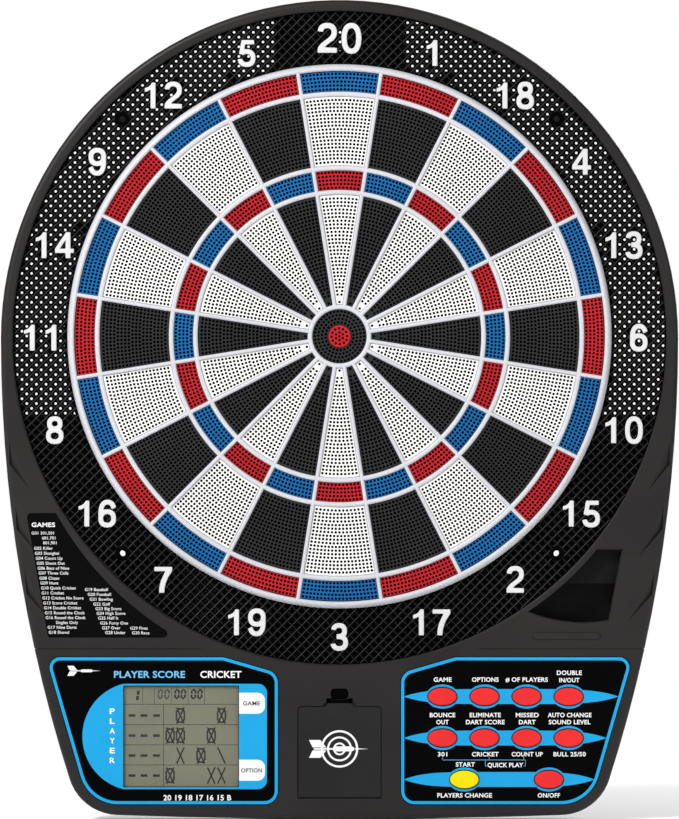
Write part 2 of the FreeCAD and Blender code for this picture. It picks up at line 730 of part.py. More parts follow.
# ---------------------------------------------------------------- scoring panel
BOARD = (21.2, 22.8)
MAT = (22.8, 24.0)
DOME_T = 0.8
LENS = (29.6, 30.8)
LCD = (26.6, 29.4)


def key_board_posts():
    return [(57.5, -249.5), (189.0, -249.5), (57.5, -329.5), (154.0, -329.5)]


def main_board_posts():
    return [(LCD_X + sx * 52.5, LCD_Z + sz * 41.5) for sx in (1, -1) for sz in (1, -1)]


def display_fascia():
    sheet = prism(panel_face(-1, 0.15), DECK[1] - FASCIA_T, DECK[1])
    window = rounded_box(LCD_X - LCD_W / 2, LCD_X + LCD_W / 2, LCD_Z - LCD_H / 2, LCD_Z + LCD_H / 2,
                         0.8, DECK[0], DECK[1] + 1)
    return sheet.cut(window)


def control_fascia():
    sheet = prism(panel_face(1, 0.15), DECK[1] - FASCIA_T, DECK[1])
    for x, z in key_places().values():
        sheet = sheet.cut(oval(KEY_A + 0.25, KEY_B + 0.25, DECK[0], DECK[1] + 1, x, z))
    return sheet


def lcd_lens():
    grow = 2.0
    return rounded_box(LCD_X - LCD_W / 2 - grow, LCD_X + LCD_W / 2 + grow,
                       LCD_Z - LCD_H / 2 - grow, LCD_Z + LCD_H / 2 + grow, 0.9, LENS[0], LENS[1])


def lcd_panel():
    """Glass of the display, with the narrower ledge that carries its contacts below."""
    half_w = LCD_W / 2 + 1.1
    half_h = LCD_H / 2 + 1.1
    glass = box(LCD_X - half_w, LCD_X + half_w, LCD_Z - half_h, LCD_Z + half_h, LCD[0], LCD[0] + 1.4)
    cover = box(LCD_X - half_w, LCD_X + half_w, LCD_Z - half_h + 0.9, LCD_Z + half_h, LCD[0] + 1.4, LCD[1])
    return one_solid(glass.fuse(cover).removeSplitter())


def lcd_holder():
    """Frame that clamps the glass between the lens and the main board."""
    half_w = LCD_W / 2 + 6.0
    half_h = LCD_H / 2 + 4.5
    frame = box(LCD_X - half_w, LCD_X + half_w, LCD_Z - half_h, LCD_Z + half_h, BOARD[1], DECK[0])
    room = box(LCD_X - LCD_W / 2 - 1.3, LCD_X + LCD_W / 2 + 1.3,
               LCD_Z - LCD_H / 2 - 1.3, LCD_Z + LCD_H / 2 + 1.3, LCD[0] - 0.1, DECK[1])
    window = box(LCD_X - LCD_W / 2 + 3, LCD_X + LCD_W / 2 - 3,
                 LCD_Z - LCD_H / 2 + 3, LCD_Z + LCD_H / 2 - 3, BOARD[0], DECK[1])
    return frame.cut(room).cut(window)


def drilled(board, places):
    for x, z in places:
        board = board.cut(cylinder(1.2, BOARD[0] - 1, BOARD[1] + 1, x, z))
    return board


def main_board():
    """Processor board behind the display: chip under resin, sockets and capacitors on its back."""
    half_w = 55.5
    half_h = 44.5
    board = box(LCD_X - half_w, LCD_X + half_w, LCD_Z - half_h, LCD_Z + half_h, BOARD[0], BOARD[1])
    adds = [
        board,
        Part.makeCone(8.0, 11.0, 1.8, V(LCD_X, -(BOARD[0] - 1.8), LCD_Z), V(0, -1, 0)),
        box(TAIL_X[0] - 2, TAIL_X[1] + 2, TAIL_END_Z - 6, TAIL_END_Z, 15.4, BOARD[0] + 0.1),
        box(-66.0, -60.5, -266.0, -250.0, 16.6, BOARD[0] + 0.1),
        box(-66.0, -60.5, -304.0, -296.0, 17.4, BOARD[0] + 0.1),
        box(-150.0, -142.0, -318.0, -312.0, 17.4, BOARD[0] + 0.1),
    ]
    for k in range(3):
        adds.append(cylinder(3.2, 15.0, BOARD[0] + 0.1, -82.0, -280.0 - 9.0 * k))
    return drilled(fuse(adds), main_board_posts())


def key_board():
    corners = [(54.0, -246.0, 2.0), (196.0, -246.0, 2.0), (176.0, -306.0, 6.0),
               (158.0, -333.0, 4.0), (54.0, -333.0, 2.0)]
    board = prism(rounded_face(corners), BOARD[0], BOARD[1])
    socket = box(54.5, 60.0, -270.0, -254.0, 16.6, BOARD[0] + 0.1)
    return drilled(board.fuse(socket).removeSplitter(), key_board_posts())


def key_mat():
    """Rubber mat with one contact dome under each key."""
    corners = [(62.0, -250.5, 3.0), (184.0, -250.5, 3.0), (169.0, -304.0, 8.0),
               (156.0, -325.0, 5.0), (62.0, -325.0, 3.0)]
    mat = prism(rounded_face(corners), MAT[0], MAT[1])
    domes = [Part.makeCone(5.0, 3.4, DOME_T, V(x, -MAT[1], z), V(0, -1, 0))
             for x, z in key_places().values()]
    return fuse([mat] + domes)


def button(name):
    """Oval key cap with its retaining flange and plunger."""
    x, z = key_places()[name]
    flange_front = DECK[0] - 0.2
    cap = oval(KEY_A, KEY_B, flange_front - 0.5, KEY_FRONT, x, z)
    rim = [edge for edge in cap.Edges
           if abs(edge.BoundBox.YMin + KEY_FRONT) < 1e-6 and edge.BoundBox.YLength < 1e-6]
    cap = cap.makeFillet(0.7, rim)
    flange = oval(KEY_A + 1.2, KEY_B + 1.2, flange_front - 1.0, flange_front, x, z)
    plunger_back = MAT[1] + DOME_T + KEY_TRAVEL + 0.1
    plunger = cylinder(2.6, plunger_back, flange_front - 0.5, x, z)
    return one_solid(fuse([cap, flange, plunger]))


def dart_bin():
    """Tub behind the pocket's mouth: shallow where the shafts lie, deep where the points go."""
    mouth = pocket_face()
    outside = mouth.makeOffset2D(1.4)
    tub = prism(outside, 5.0, DECK[0])
    deep = prism(mouth, 6.4, DECK[1]).common(box(100, 250, -300, -178.7, 0, 40))
    shallow = prism(mouth, 22.0, DECK[1])
    hollow_back = prism(mouth, 4.0, 20.5).common(box(100, 250, -177.2, -100, 0, 40))
    return one_solid(tub.cut(deep).cut(shallow).cut(hollow_back))


def games_card():
    """Printed list of the games, let into the deck."""
    return prism(card_face().makeOffset2D(-0.2), DECK[1] - 0.6, DECK[1] - 0.1)


# ---------------------------------------------------------------- battery compartment
def battery_door():
    """Door with a round lower edge and two hinge pins, and a latch tab at its top."""
    half = DOOR_W / 2
    radius = DOOR_T / 2
    axis_z = DOOR_BOTTOM + radius
    axis_depth = DECK[1] - radius
    back = DECK[1] - DOOR_T
    plate = rounded_face([(-half, axis_z, 0.0), (half, axis_z, 0.0), (half, DOOR_TOP, DOOR_CORNER_R),
                          (-half, DOOR_TOP, DOOR_CORNER_R)])
    adds = [
        prism(plate, back, DECK[1]),
        Part.makeCylinder(radius, DOOR_W, V(-half, -axis_depth, axis_z), V(1, 0, 0)),
        Part.makeCylinder(PIN_R, DOOR_W + 2 * PIN_L, V(-half - PIN_L, -axis_depth, axis_z), V(1, 0, 0)),
        prism(rounded_face([(-10.9, DOOR_TOP - 1, 0.2), (10.9, DOOR_TOP - 1, 0.2),
                            (8.4, -265.1, 0.6), (-8.4, -265.1, 0.6)]), back, DECK[1]),
        box(-6.0, 6.0, -266.0, -262.4, back, back + 1.2),
    ]
    return one_solid(fuse(adds))


def battery_tray():
    half = TRAY_W / 2
    low, high = TRAY_Z
    tray = rounded_box(-half, half, low, high, 2.0, TRAY_BACK, DECK[0])
    room = box(-half + TRAY_T, half - TRAY_T, low + TRAY_T, high - TRAY_T, TRAY_BACK + TRAY_T, DECK[1])
    tray = tray.cut(room)
    ribs = [box(sign * CELL_PITCH / 2 - 0.5, sign * CELL_PITCH / 2 + 0.5,
                low + 1, high - 1, TRAY_BACK + 1, 12.0) for sign in (1, -1)]
    return fuse([tray] + ribs)


def cell_places():
    """Axis of each cell as (x, depth, lower end z, which way its nub points)."""
    depth = TRAY_BACK + TRAY_T + CELL_R + 0.15
    low = (TRAY_Z[0] + TRAY_Z[1]) / 2 - CELL_L / 2
    return [((k - 1) * CELL_PITCH, depth, low, 1 if k % 2 else -1) for k in range(3)]


def battery_cells():
    """Three AA cells, side by side and head to tail."""
    cells = []
    for x, depth, low, way in cell_places():
        can = Part.makeCylinder(CELL_R, CELL_L - 1.4, V(x, -depth, low + (0 if way > 0 else 1.4)), V(0, 0, 1))
        end = low + CELL_L - 1.6 if way > 0 else low + 1.6
        nub = Part.makeCylinder(2.7, 1.6, V(x, -depth, end), V(0, 0, way))
        cells.append(one_solid(can.fuse(nub).removeSplitter()))
    return Part.Compound(cells)


def battery_contacts():
    """A plate at each end of each cell: a coil spring at the flat end, a dimple at the nub."""
    low, high = TRAY_Z[0] + TRAY_T, TRAY_Z[1] - TRAY_T
    pieces = []
    for x, depth, cell_low, way in cell_places():
        for wall_z, cell_z, inward in ((low, cell_low, 1), (high, cell_low + CELL_L, -1)):
            plate_z = sorted((wall_z, wall_z + inward * 0.5))
            plate = box(x - 5.5, x + 5.5, plate_z[0], plate_z[1], depth - 6.0, depth + 5.0)
            span = abs(cell_z - wall_z) - 0.5
            start = V(x, -depth, wall_z + inward * 0.4)
            if inward == -way:
                solids = [Part.makeCylinder(1.6, span + 0.1, start, V(0, 0, inward))]
            else:
                solids = [Part.makeCylinder(0.45, span - 0.3, start + V(3.2, 0, 0), V(0, 0, inward))]
                for k in range(3):
                    centre = V(x, -depth, wall_z + inward * (1.2 + k * (span - 1.6) / 2))
                    solids.append(Part.makeTorus(3.2, 0.45, centre, V(0, 0, 1)))
            pieces.append(one_solid(fuse([plate] + solids)))
    return Part.Compound(pieces)


# ---------------------------------------------------------------- speaker and wiring
def speaker():
    """Small loudspeaker that fires through the grille in the rear cover."""
    x, z = SPEAKER_XZ
    basket = Part.makeCone(SPEAKER_R - 2, 12.0, 6.0, V(x, -3.2, z), V(0, -1, 0))
    adds = [
        cylinder(SPEAKER_R, COVER_T, 3.4, x, z),
        basket,
        cylinder(11.5, 9.0, 13.6, x, z),
        box(x + 14.5, x + 23, z - 4, z + 4, 3.2, SPEAKER_TAB),
    ]
    body = fuse(adds)
    dish = Part.makeCone(SPEAKER_R - 4, 8.0, 5.0, V(x, -COVER_T, z), V(0, -1, 0))
    return one_solid(body.cut(dish))


def lead(points, radius):
    """Round insulated wire along straight runs joined by arcs, in the plane of its points."""
    path = [V(x, -depth, z) for x, depth, z in points]
    edges = []
    start = path[0]
    for i in range(1, len(path) - 1):
        here = path[i]
        before = path[i - 1] - here
        after = path[i + 1] - here
        shorter = min(before.Length, after.Length)
        before.normalize()
        after.normalize()
        reach = 0.45 * shorter
        half = before.getAngle(after) / 2
        inward = before + after
        inward.normalize()
        bend_r = reach * math.tan(half)
        middle = here + inward * (reach / math.cos(half) - bend_r)
        edges.append(Part.LineSegment(start, here + before * reach).toShape())
        edges.append(Part.Arc(here + before * reach, middle, here + after * reach).toShape())
        start = here + after * reach
    edges.append(Part.LineSegment(start, path[-1]).toShape())
    direction = path[1] - path[0]
    profile = Part.Wire([Part.makeCircle(radius, path[0], direction)])
    tube = Part.Wire(edges).makePipeShell([profile], True, False)
    return one_solid(tube)


def wiring():
    """Flat ribbon between the two boards, two battery leads and two speaker leads."""
    ribbon = box(-60.5, 54.5, -262.0, -255.0, 18.4, 19.2)
    leads = []
    for k in range(2):
        battery_z = -298.6 - 3.0 * k
        leads.append(lead([(-29.0, 16.0, battery_z), (-40.0, 16.0, battery_z),
                           (-50.0, 19.5, battery_z), (-60.5, 19.5, battery_z)], 0.7))
        speaker_x = -98.0 + 4.0 * k
        socket_z = -313.5 - 3.0 * k
        leads.append(lead([(speaker_x, SPEAKER_TAB, -290.0), (speaker_x, 15.0, -290.0),
                           (speaker_x, 18.6, -299.0), (speaker_x, 18.6, socket_z),
                           (-142.0, 18.6, socket_z)], 0.7))
    return Part.Compound([ribbon] + leads)


# ---------------------------------------------------------------- the nodes
def nodes():
    made = {
        "front_housing": front_housing, "catch_ring": catch_ring, "ring_numerals": ring_numerals,
        "spider": spider, "matrix_film": matrix_film, "foam_pad": foam_pad,
        "rear_cover": rear_cover, "display_fascia": display_fascia, "lcd_lens": lcd_lens,
        "lcd_panel": lcd_panel, "lcd_holder": lcd_holder, "control_fascia": control_fascia,
        "key_mat": key_mat, "key_board": key_board, "main_board": main_board, "wiring": wiring,
        "battery_tray": battery_tray, "battery_cells": battery_cells,
        "battery_contacts": battery_contacts, "speaker": speaker, "games_card": games_card,
        "dart_bin": dart_bin, "screws": screws, "battery_door": battery_door,
        "bull_outer": bull_outer, "bull_inner": bull_inner,
        "doubles_blue": lambda: every_other(DOUBLE_R, 0),
        "doubles_red": lambda: every_other(DOUBLE_R, 1),
        "triples_red": lambda: every_other(TRIPLE_R, 0),
        "triples_blue": lambda: every_other(TRIPLE_R, 1),
    }
    for name in KEYS:
        made[name] = lambda name=name: button(name)
    for place, number in enumerate(CLOCKWISE):
        made["single_%02d" % number] = lambda place=place: single(place)
    return made


def main():
    os.makedirs("parts", exist_ok=True)
    for name, make in nodes().items():
        shape = one_solid(make())
        sound = shape.isValid() and all(solid.Volume > 0 for solid in shape.Solids)
        print("%-18s solids %3d  volume %10.1f mm3  %s"
              % (name, len(shape.Solids), shape.Volume, "ok" if sound else "NOT SOUND"))
        shape.exportStep("parts/%s.step" % name)


main()
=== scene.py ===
import functools
import math

import bpy
from mathutils import Matrix, Vector
from mathutils.geometry import delaunay_2d_cdt
from mathutils.kdtree import KDTree


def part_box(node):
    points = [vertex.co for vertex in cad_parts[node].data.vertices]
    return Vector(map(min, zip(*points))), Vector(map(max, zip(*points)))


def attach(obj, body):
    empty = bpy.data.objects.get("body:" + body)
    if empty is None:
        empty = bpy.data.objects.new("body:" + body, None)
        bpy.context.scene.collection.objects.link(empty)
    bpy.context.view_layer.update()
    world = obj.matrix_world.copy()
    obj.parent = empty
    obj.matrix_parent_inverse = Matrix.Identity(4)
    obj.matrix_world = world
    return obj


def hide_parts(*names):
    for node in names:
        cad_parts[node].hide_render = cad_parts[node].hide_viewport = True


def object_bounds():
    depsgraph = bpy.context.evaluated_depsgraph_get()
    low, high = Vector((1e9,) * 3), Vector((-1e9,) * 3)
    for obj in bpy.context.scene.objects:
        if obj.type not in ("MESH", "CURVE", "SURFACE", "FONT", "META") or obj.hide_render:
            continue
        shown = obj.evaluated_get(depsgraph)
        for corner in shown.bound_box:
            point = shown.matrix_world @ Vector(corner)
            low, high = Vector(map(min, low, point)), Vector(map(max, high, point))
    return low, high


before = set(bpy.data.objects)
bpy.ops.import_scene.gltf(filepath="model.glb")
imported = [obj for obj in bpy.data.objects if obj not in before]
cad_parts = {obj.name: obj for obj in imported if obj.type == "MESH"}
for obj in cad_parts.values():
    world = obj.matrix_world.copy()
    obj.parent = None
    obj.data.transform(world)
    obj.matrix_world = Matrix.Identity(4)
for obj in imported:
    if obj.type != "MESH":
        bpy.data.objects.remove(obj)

CAD_BOX = [list(corner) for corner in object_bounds()]

# ---- sizes, in millimetres
# A "depth" is a distance out from the wall, so a point at depth d has y = -d.
MM = 0.001
TARGET_R = 196.85
DOUBLE_R = (176.8, 191.2)
OUTER_SINGLE_R = (123.3, 173.3)
TRIPLE_R = (105.8, 119.9)
INNER_SINGLE_R = (23.0, 102.4)
BULL_OUTER_R = (8.3, 19.6)
SECTOR = 18.0
HALF_SECTOR = math.radians(SECTOR / 2)
CLOCKWISE = (20, 1, 18, 4, 13, 6, 10, 15, 2, 17, 3, 19, 7, 16, 8, 11, 14, 9, 12, 5)
PLAY = 0.2
WEB_W = 2.8
SEGMENT_FRONT = 31.0
SEGMENT_BACK = 18.8
SPIDER_BACK = 17.6
CATCH_BACK = 25.0
CATCH_FRONT = 28.0
CATCH_R = 236.0
CATCH_INNER_R = TARGET_R + 0.25
CATCH_DROP = 1.0
WELL_TOP = 12.0
DECK_FRONT = 32.0
WALL_SCREW_XZ = 157.0
WALL_SCREW_R = 2.25
WALL_BOSS_R = 5.0
SCREW_TUBES = [(sx * WALL_SCREW_XZ, sz * WALL_SCREW_XZ) for sx in (1, -1) for sz in (1, -1)]
NUMERAL_R = 216.3
NUMERAL_H = 18.8
TOP_NUMERAL_H = 20.9
NUMERAL_PITCH = 0.83
NUMERAL_FRONT = 29.5


# ---- mesh helpers
def polar(radius, degrees, centre=(0.0, 0.0)):
    turn = math.radians(degrees)
    return centre[0] + radius * math.cos(turn), centre[1] + radius * math.sin(turn)


def circle(x, z, radius, sides, turn=0.0):
    return [polar(radius, turn + 360.0 * k / sides, (x, z)) for k in range(sides)]


def oval(x, z, a, b, sides=48):
    return [(x + a * px, z + b * pz) for px, pz in circle(0, 0, 1.0, sides)]


def arc_points(centre, radius, start, end, steps):
    return [polar(radius, start + (end - start) * k / steps, centre) for k in range(steps + 1)]


def rounded(corners, steps=8):
    """Points of a polygon, anticlockwise, whose corners (x, z, radius) are rounded."""
    points = []
    count = len(corners)
    for k, (x, z, radius) in enumerate(corners):
        here = Vector((x, z))
        back = (Vector(corners[k - 1][:2]) - here).normalized()
        ahead = (Vector(corners[(k + 1) % count][:2]) - here).normalized()
        half = back.angle(ahead) / 2
        centre = here + (back + ahead).normalized() * (radius / math.sin(half))
        start = here + back * (radius / math.tan(half)) - centre
        end = here + ahead * (radius / math.tan(half)) - centre
        sweep = start.angle_signed(end)
        for step in range(steps + 1):
            turned = start.copy()
            turned.rotate(Matrix.Rotation(-sweep * step / steps, 2))
            points.append(tuple(centre + turned))
    return points


def shrunk(corners, inset):
    """The corners of a convex polygon with every side moved in."""
    sides = []
    count = len(corners)
    for k in range(count):
        here, ahead = Vector(corners[k][:2]), Vector(corners[(k + 1) % count][:2])
        along = (ahead - here).normalized()
        sides.append((here + Vector((-along.y, along.x)) * inset, along))
    result = []
    for k in range(count):
        (p, u), (q, v) = sides[k - 1], sides[k]
        reach = ((q - p).x * v.y - (q - p).y * v.x) / (u.x * v.y - u.y * v.x)
        corner = p + u * reach
        result.append((corner.x, corner.y, max(corners[k][2] - inset, 0.3)))
    return result


def encloses(outline, x, z):
    """True if a point is inside an outline."""
    inside = False
    for (x0, z0), (x1, z1) in zip(outline, outline[1:] + outline[:1]):
        if (z0 > z) != (z1 > z) and x < x0 + (z - z0) / (z1 - z0) * (x1 - x0):
            inside = not inside
    return inside


def turns_left(p, q, r):
    return (q[0] - p[0]) * (r[1] - p[1]) - (q[1] - p[1]) * (r[0] - p[0]) > 0


class Build:
    """Gathers faces in millimetres. A point is (x, z, depth)."""

    def __init__(self):
        self.points = []
        self.faces = []

    def row(self, outline, depth):
        """Adds an outline at one depth; returns the numbers of its points."""
        first = len(self.points)
        self.points += [(x, z, depth) for x, z in outline]
        return list(range(first, len(self.points)))

    def across(self, place, side, section):
        """Adds a cross-section of (offset, depth) points square to a line; returns its row."""
        spots = [place + side * offset for offset, _ in section]
        first = len(self.points)
        self.points += [(spot.x, spot.y, depth) for spot, (_, depth) in zip(spots, section)]
        return list(range(first, len(self.points)))

    def face(self, corners, slot=0, smooth=False):
        self.faces.append((tuple(corners), slot, smooth))

    def band(self, low, high, slot=0, smooth=False, closed=True):
        """Joins two rows. Anticlockwise rows face outwards when high is in front of low."""
        count = len(low)
        for i in range(count if closed else count - 1):
            j = (i + 1) % count
            self.face((low[i], low[j], high[j], high[i]), slot, smooth)

    def fill(self, outer, holes=(), slot=0, clear=()):
        """Fills a row round its convex holes and off the outlines in clear; returns the triangles."""
        rows = [outer] + list(holes)
        numbers = [i for row in rows for i in row]
        owner = [k for k, row in enumerate(rows) for _ in row]
        edges = []
        first = 0
        for row in rows:
            edges += [(first + i, first + (i + 1) % len(row)) for i in range(len(row))]
            first += len(row)
        flat = [Vector(self.points[i][:2]) for i in numbers]
        depth = self.points[outer[0]][2]
        places, _, triangles, sources, _, _ = delaunay_2d_cdt(
            flat, edges, [list(range(len(outer)))], 1, 1e-7)
        known = []
        for place, source in zip(places, sources):
            if source:
                known.append((numbers[source[0]], owner[source[0]]))
            else:
                self.points.append((place.x, place.y, depth))
                known.append((len(self.points) - 1, -1))
        made = []
        for triangle in triangles:
            (a, ka), (b, kb), (c, kc) = [known[i] for i in triangle]
            if ka == kb == kc and ka > 0:
                continue
            pa, pb, pc = self.points[a], self.points[b], self.points[c]
            x, z = (pa[0] + pb[0] + pc[0]) / 3, (pa[1] + pb[1] + pc[1]) / 3
            if any(encloses(outline, x, z) for outline in clear):
                continue
            made.append((a, b, c) if turns_left(pa, pb, pc) else (c, b, a))
            self.face(made[-1], slot)
        return made

    def print_on(self, outline, depth, slot=0, holes=()):
        """A thin printed area with an outline and convex holes, which may reach over its edge."""
        edge = self.row(outline, depth)
        self.fill(edge, [self.row(hole, depth) for hole in holes], slot, holes)

    def stroke(self, points, width, depth, slot=0):
        """A thin printed line through some points, with square ends."""
        for (x0, z0), (x1, z1) in zip(points, points[1:]):
            along = Vector((x1 - x0, z1 - z0)).normalized() * (width / 2)
            side = Vector((-along.y, along.x))
            a = Vector((x0, z0)) - along
            b = Vector((x1, z1)) + along
            self.face(self.row([a - side, b - side, b + side, a + side], depth), slot)

    def spin(self, profile, centre=(0.0, 0.0), steps=240, slot=0, smooth=True):
        """Turns a profile of (radius, depth) points about an axis square to the wall."""
        rings = [self.row(circle(centre[0], centre[1], radius, steps), depth)
                 for radius, depth in profile]
        for low, high in zip(rings, rings[1:]):
            self.band(low, high, slot, smooth)

    def mesh(self, name, materials):
        mesh = bpy.data.meshes.new(name)
        corners, slots, smooth = zip(*self.faces)
        mesh.from_pydata([(x * MM, -depth * MM, z * MM) for x, z, depth in self.points], [], corners)
        for material in materials:
            mesh.materials.append(material)
        mesh.polygons.foreach_set("material_index", slots)
        mesh.polygons.foreach_set("use_smooth", smooth)
        mesh.update()
        return mesh

    def piece(self, name, materials, slot, body="case", nodes=()):
        show(name, self.mesh(name, materials), body, nodes)


def place_object(name, data):
    thing = bpy.data.objects.new(name, data)
    bpy.context.scene.collection.objects.link(thing)
    return thing


def show(name, mesh, body="case", nodes=()):
    """Puts a mesh in the scene as a piece that rides on a body."""
    piece = place_object(name, mesh)
    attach(piece, body)
    if nodes:
        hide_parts(*nodes)


def inward(outline, distance):
    """Moves each point of a closed, anticlockwise outline in along its own normal."""
    count = len(outline)
    result = []
    for k, (x, z) in enumerate(outline):
        before, after = outline[k - 1], outline[(k + 1) % count]
        u = (Vector((x, z)) - Vector(before)).normalized()
        v = (Vector(after) - Vector((x, z))).normalized()
        normal = Vector((-(u + v).y, (u + v).x)).normalized()
        lean = max(normal.dot(Vector((-u.y, u.x))), 0.5)
        result.append((x + normal.x * distance / lean, z + normal.y * distance / lean))
    return result


# ---- materials
def linear(colour, gain):
    """Scene colour of an 8-bit display colour."""
    channels = [value / 255.0 for value in colour]
    return [gain * (c / 12.92 if c <= 0.04045 else ((c + 0.055) / 1.055) ** 2.4)
            for c in channels] + [1.0]


# how much of the fine grain shows in the colour, beside the slow drift
GRAIN_SHARE = 0.35


def set_inputs(node, values):
    for name, value in values.items():
        node.inputs[name].default_value = value


def finish_material(name, colour, spread, rough, specular=0.5, blotch=18.0, grain=2600.0, relief=40,
                    coat=0.0, metal=0.0, brushed=None, alpha=1.0):
    """A moulded or printed finish: slow colour drift, fine grain, and uneven gloss.

    spread is how far the colour drifts, rough the range of roughness, blotch and grain the scales
    of the drift and of the grain, and relief the grain's depth in thousandths of a millimetre.
    """
    material = bpy.data.materials.new(name)
    material.use_nodes = True
    nodes, links = material.node_tree.nodes, material.node_tree.links
    shader = nodes["Principled BSDF"]
    place = nodes.new("ShaderNodeTexCoord").outputs["Object"]
    if brushed:
        mapping = nodes.new("ShaderNodeMapping")
        set_inputs(mapping, {"Scale": brushed})
        links.new(place, mapping.inputs["Vector"])
        place = mapping.outputs["Vector"]

    def noise(scale, detail):
        texture = nodes.new("ShaderNodeTexNoise")
        set_inputs(texture, {"Scale": scale, "Detail": detail})
        links.new(place, texture.inputs["Vector"])
        return texture.outputs["Fac"]

    drift = noise(blotch, 4.0)
    fine = noise(grain, 2.0)
    both = nodes.new("ShaderNodeMath")
    both.operation = "MULTIPLY_ADD"
    links.new(fine, both.inputs[0])
    links.new(drift, both.inputs[2])
    ramp = nodes.new("ShaderNodeValToRGB")
    for element, position, gain in zip(ramp.color_ramp.elements, (0.45, 0.9), (1 - spread, 1 + spread)):
        element.position = position
        element.color = linear(colour, gain)
    links.new(both.outputs[0], ramp.inputs["Fac"])
    links.new(ramp.outputs["Color"], shader.inputs["Base Color"])
    gloss = nodes.new("ShaderNodeMapRange")
    links.new(noise(blotch * 3.0, 5.0), gloss.inputs["Value"])
    links.new(gloss.outputs["Result"], shader.inputs["Roughness"])
    bump = nodes.new("ShaderNodeBump")
    links.new(fine, bump.inputs["Height"])
    links.new(bump.outputs["Normal"], shader.inputs["Normal"])
    set_inputs(both, {1: GRAIN_SHARE})
    set_inputs(gloss, {"From Min": 0.3, "From Max": 0.7, "To Min": rough[0], "To Max": rough[1]})
    set_inputs(bump, {"Strength": 0.6, "Distance": relief * MM / 1000})
    set_inputs(shader, {"Specular IOR Level": specular, "Coat Weight": coat, "Coat Roughness": 0.12,
                        "Metallic": metal, "Alpha": alpha})
    return material


HOUSING = finish_material("moulded_charcoal", (28, 25, 24), 0.35, (0.42, 0.58), 0.3, blotch=9.0,
                          grain=3200.0, relief=60)
LATTICE = finish_material("lattice_black", (3, 3, 3), 0.3, (0.5, 0.65), 0.02)
# greys for the hatching ridges, which are the plate's own black plastic: painted highlight, as one lit and
# one shaded copy
RIDGE_PAINTED_LIT = finish_material("ridge_painted_lit_black", (70, 68, 68), 0.3, (0.35, 0.5), 0.25)
RIDGE_PAINTED_SHADED = finish_material("ridge_painted_shaded_black", (40, 39, 39), 0.3, (0.35, 0.5), 0.2)
WEB = finish_material("web_white", (202, 203, 208), 0.05, (0.34, 0.46), 0.3, blotch=14.0, relief=20)
NUMERAL = finish_material("numeral_white", (214, 213, 214), 0.05, (0.4, 0.55), 0.25, relief=30)
SEGMENT_LOOKS = {
    name: finish_material(f"segment_{name}", colour, spread, rough, specular, relief=30)
    for name, colour, spread, rough, specular in (
        ("white", (244, 243, 240), 0.04, (0.4, 0.55), 0.25),
        ("black", (32, 32, 33), 0.25, (0.42, 0.58), 0.25),
        ("red", (178, 27, 36), 0.1, (0.38, 0.52), 0.2),
        ("blue", (14, 97, 158), 0.1, (0.38, 0.52), 0.2))
}
# dark copies of the segment colours for the walls and floors of the dart holes: painted shade, standing in
# for the shade down a deep hole
HOLE_SHADE_LOOKS = {
    name: finish_material(f"hole_painted_shade_in_{name}", colour, 0.12, (0.8, 0.95), 0.0)
    for name, colour in (("white", (9, 9, 8)), ("black", (2, 2, 2)), ("red", (92, 5, 11)),
                         ("blue", (5, 24, 66)))
}
FASCIA = finish_material("fascia_black", (3, 3, 4), 0.2, (0.34, 0.44), 0.03, blotch=30.0, grain=1800.0,
                         relief=20)
PRINT_BLUE = finish_material("print_blue", (30, 158, 214), 0.04, (0.36, 0.46), 0.1, grain=2400.0,
                             relief=20)
PRINT_PALE_BLUE, PRINT_WHITE, PRINT_GREY = [
    finish_material(f"print_{name}", colour, spread, (0.36, 0.46), 0.1, relief=20)
    for name, colour, spread in (("pale_blue", (110, 186, 228), 0.04), ("white", (236, 236, 236), 0.03),
                                 ("grey", (62, 64, 68), 0.05))]
KEY_RED = finish_material("key_red", (224, 40, 42), 0.06, (0.36, 0.48), 0.2, blotch=60.0)
KEY_YELLOW = finish_material("key_yellow", (246, 216, 1), 0.05, (0.36, 0.48), 0.15, blotch=60.0)
LCD_GLASS = finish_material("lcd_glass", (110, 109, 90), 0.08, (0.5, 0.6), 0.15, blotch=26.0,
                            grain=1400.0, relief=10)
LCD_LINE, LCD_DARK, LCD_FAINT = [
    finish_material(f"lcd_{name}", colour, 0.1, (0.5, 0.6), 0.1)
    for name, colour in (("line", (40, 39, 32)), ("dark", (3, 3, 3)), ("faint", (66, 65, 55)))]
LENS = finish_material("clear_lens", (250, 250, 250), 0.02, (0.04, 0.1), 0.2, blotch=20.0, relief=4,
                       alpha=0.02)
DOOR = finish_material("door_black", (27, 26, 26), 0.25, (0.34, 0.48), 0.25, blotch=16.0)
POCKET = finish_material("pocket_black", (17, 16, 16), 0.25, (0.42, 0.6), 0.1)
CARD = finish_material("card_black", (4, 4, 4), 0.2, (0.34, 0.46), 0.06, blotch=30.0, relief=10)
REAR = finish_material("rear_black", (34, 33, 33), 0.25, (0.45, 0.65), 0.35, blotch=8.0, grain=2200.0,
                       relief=80)
FOAM = finish_material("foam_grey", (78, 80, 84), 0.25, (0.85, 0.97), 0.1, blotch=120.0, grain=900.0,
                       relief=500)
FILM = finish_material("film_amber", (196, 150, 74), 0.12, (0.2, 0.35), blotch=30.0, relief=10)
BOARD = finish_material("board_green", (24, 92, 52), 0.2, (0.3, 0.45), blotch=90.0, grain=1500.0,
                        relief=20)
RUBBER = finish_material("key_mat_grey", (150, 152, 152), 0.1, (0.7, 0.85), blotch=60.0)
INNER = finish_material("inner_black", (38, 38, 40), 0.2, (0.45, 0.6), blotch=20.0)
WIRE = finish_material("wire_grey", (120, 118, 114), 0.15, (0.4, 0.55), blotch=200.0)
CELL = finish_material("cell_jacket", (62, 96, 74), 0.2, (0.2, 0.34), blotch=70.0, coat=0.4)
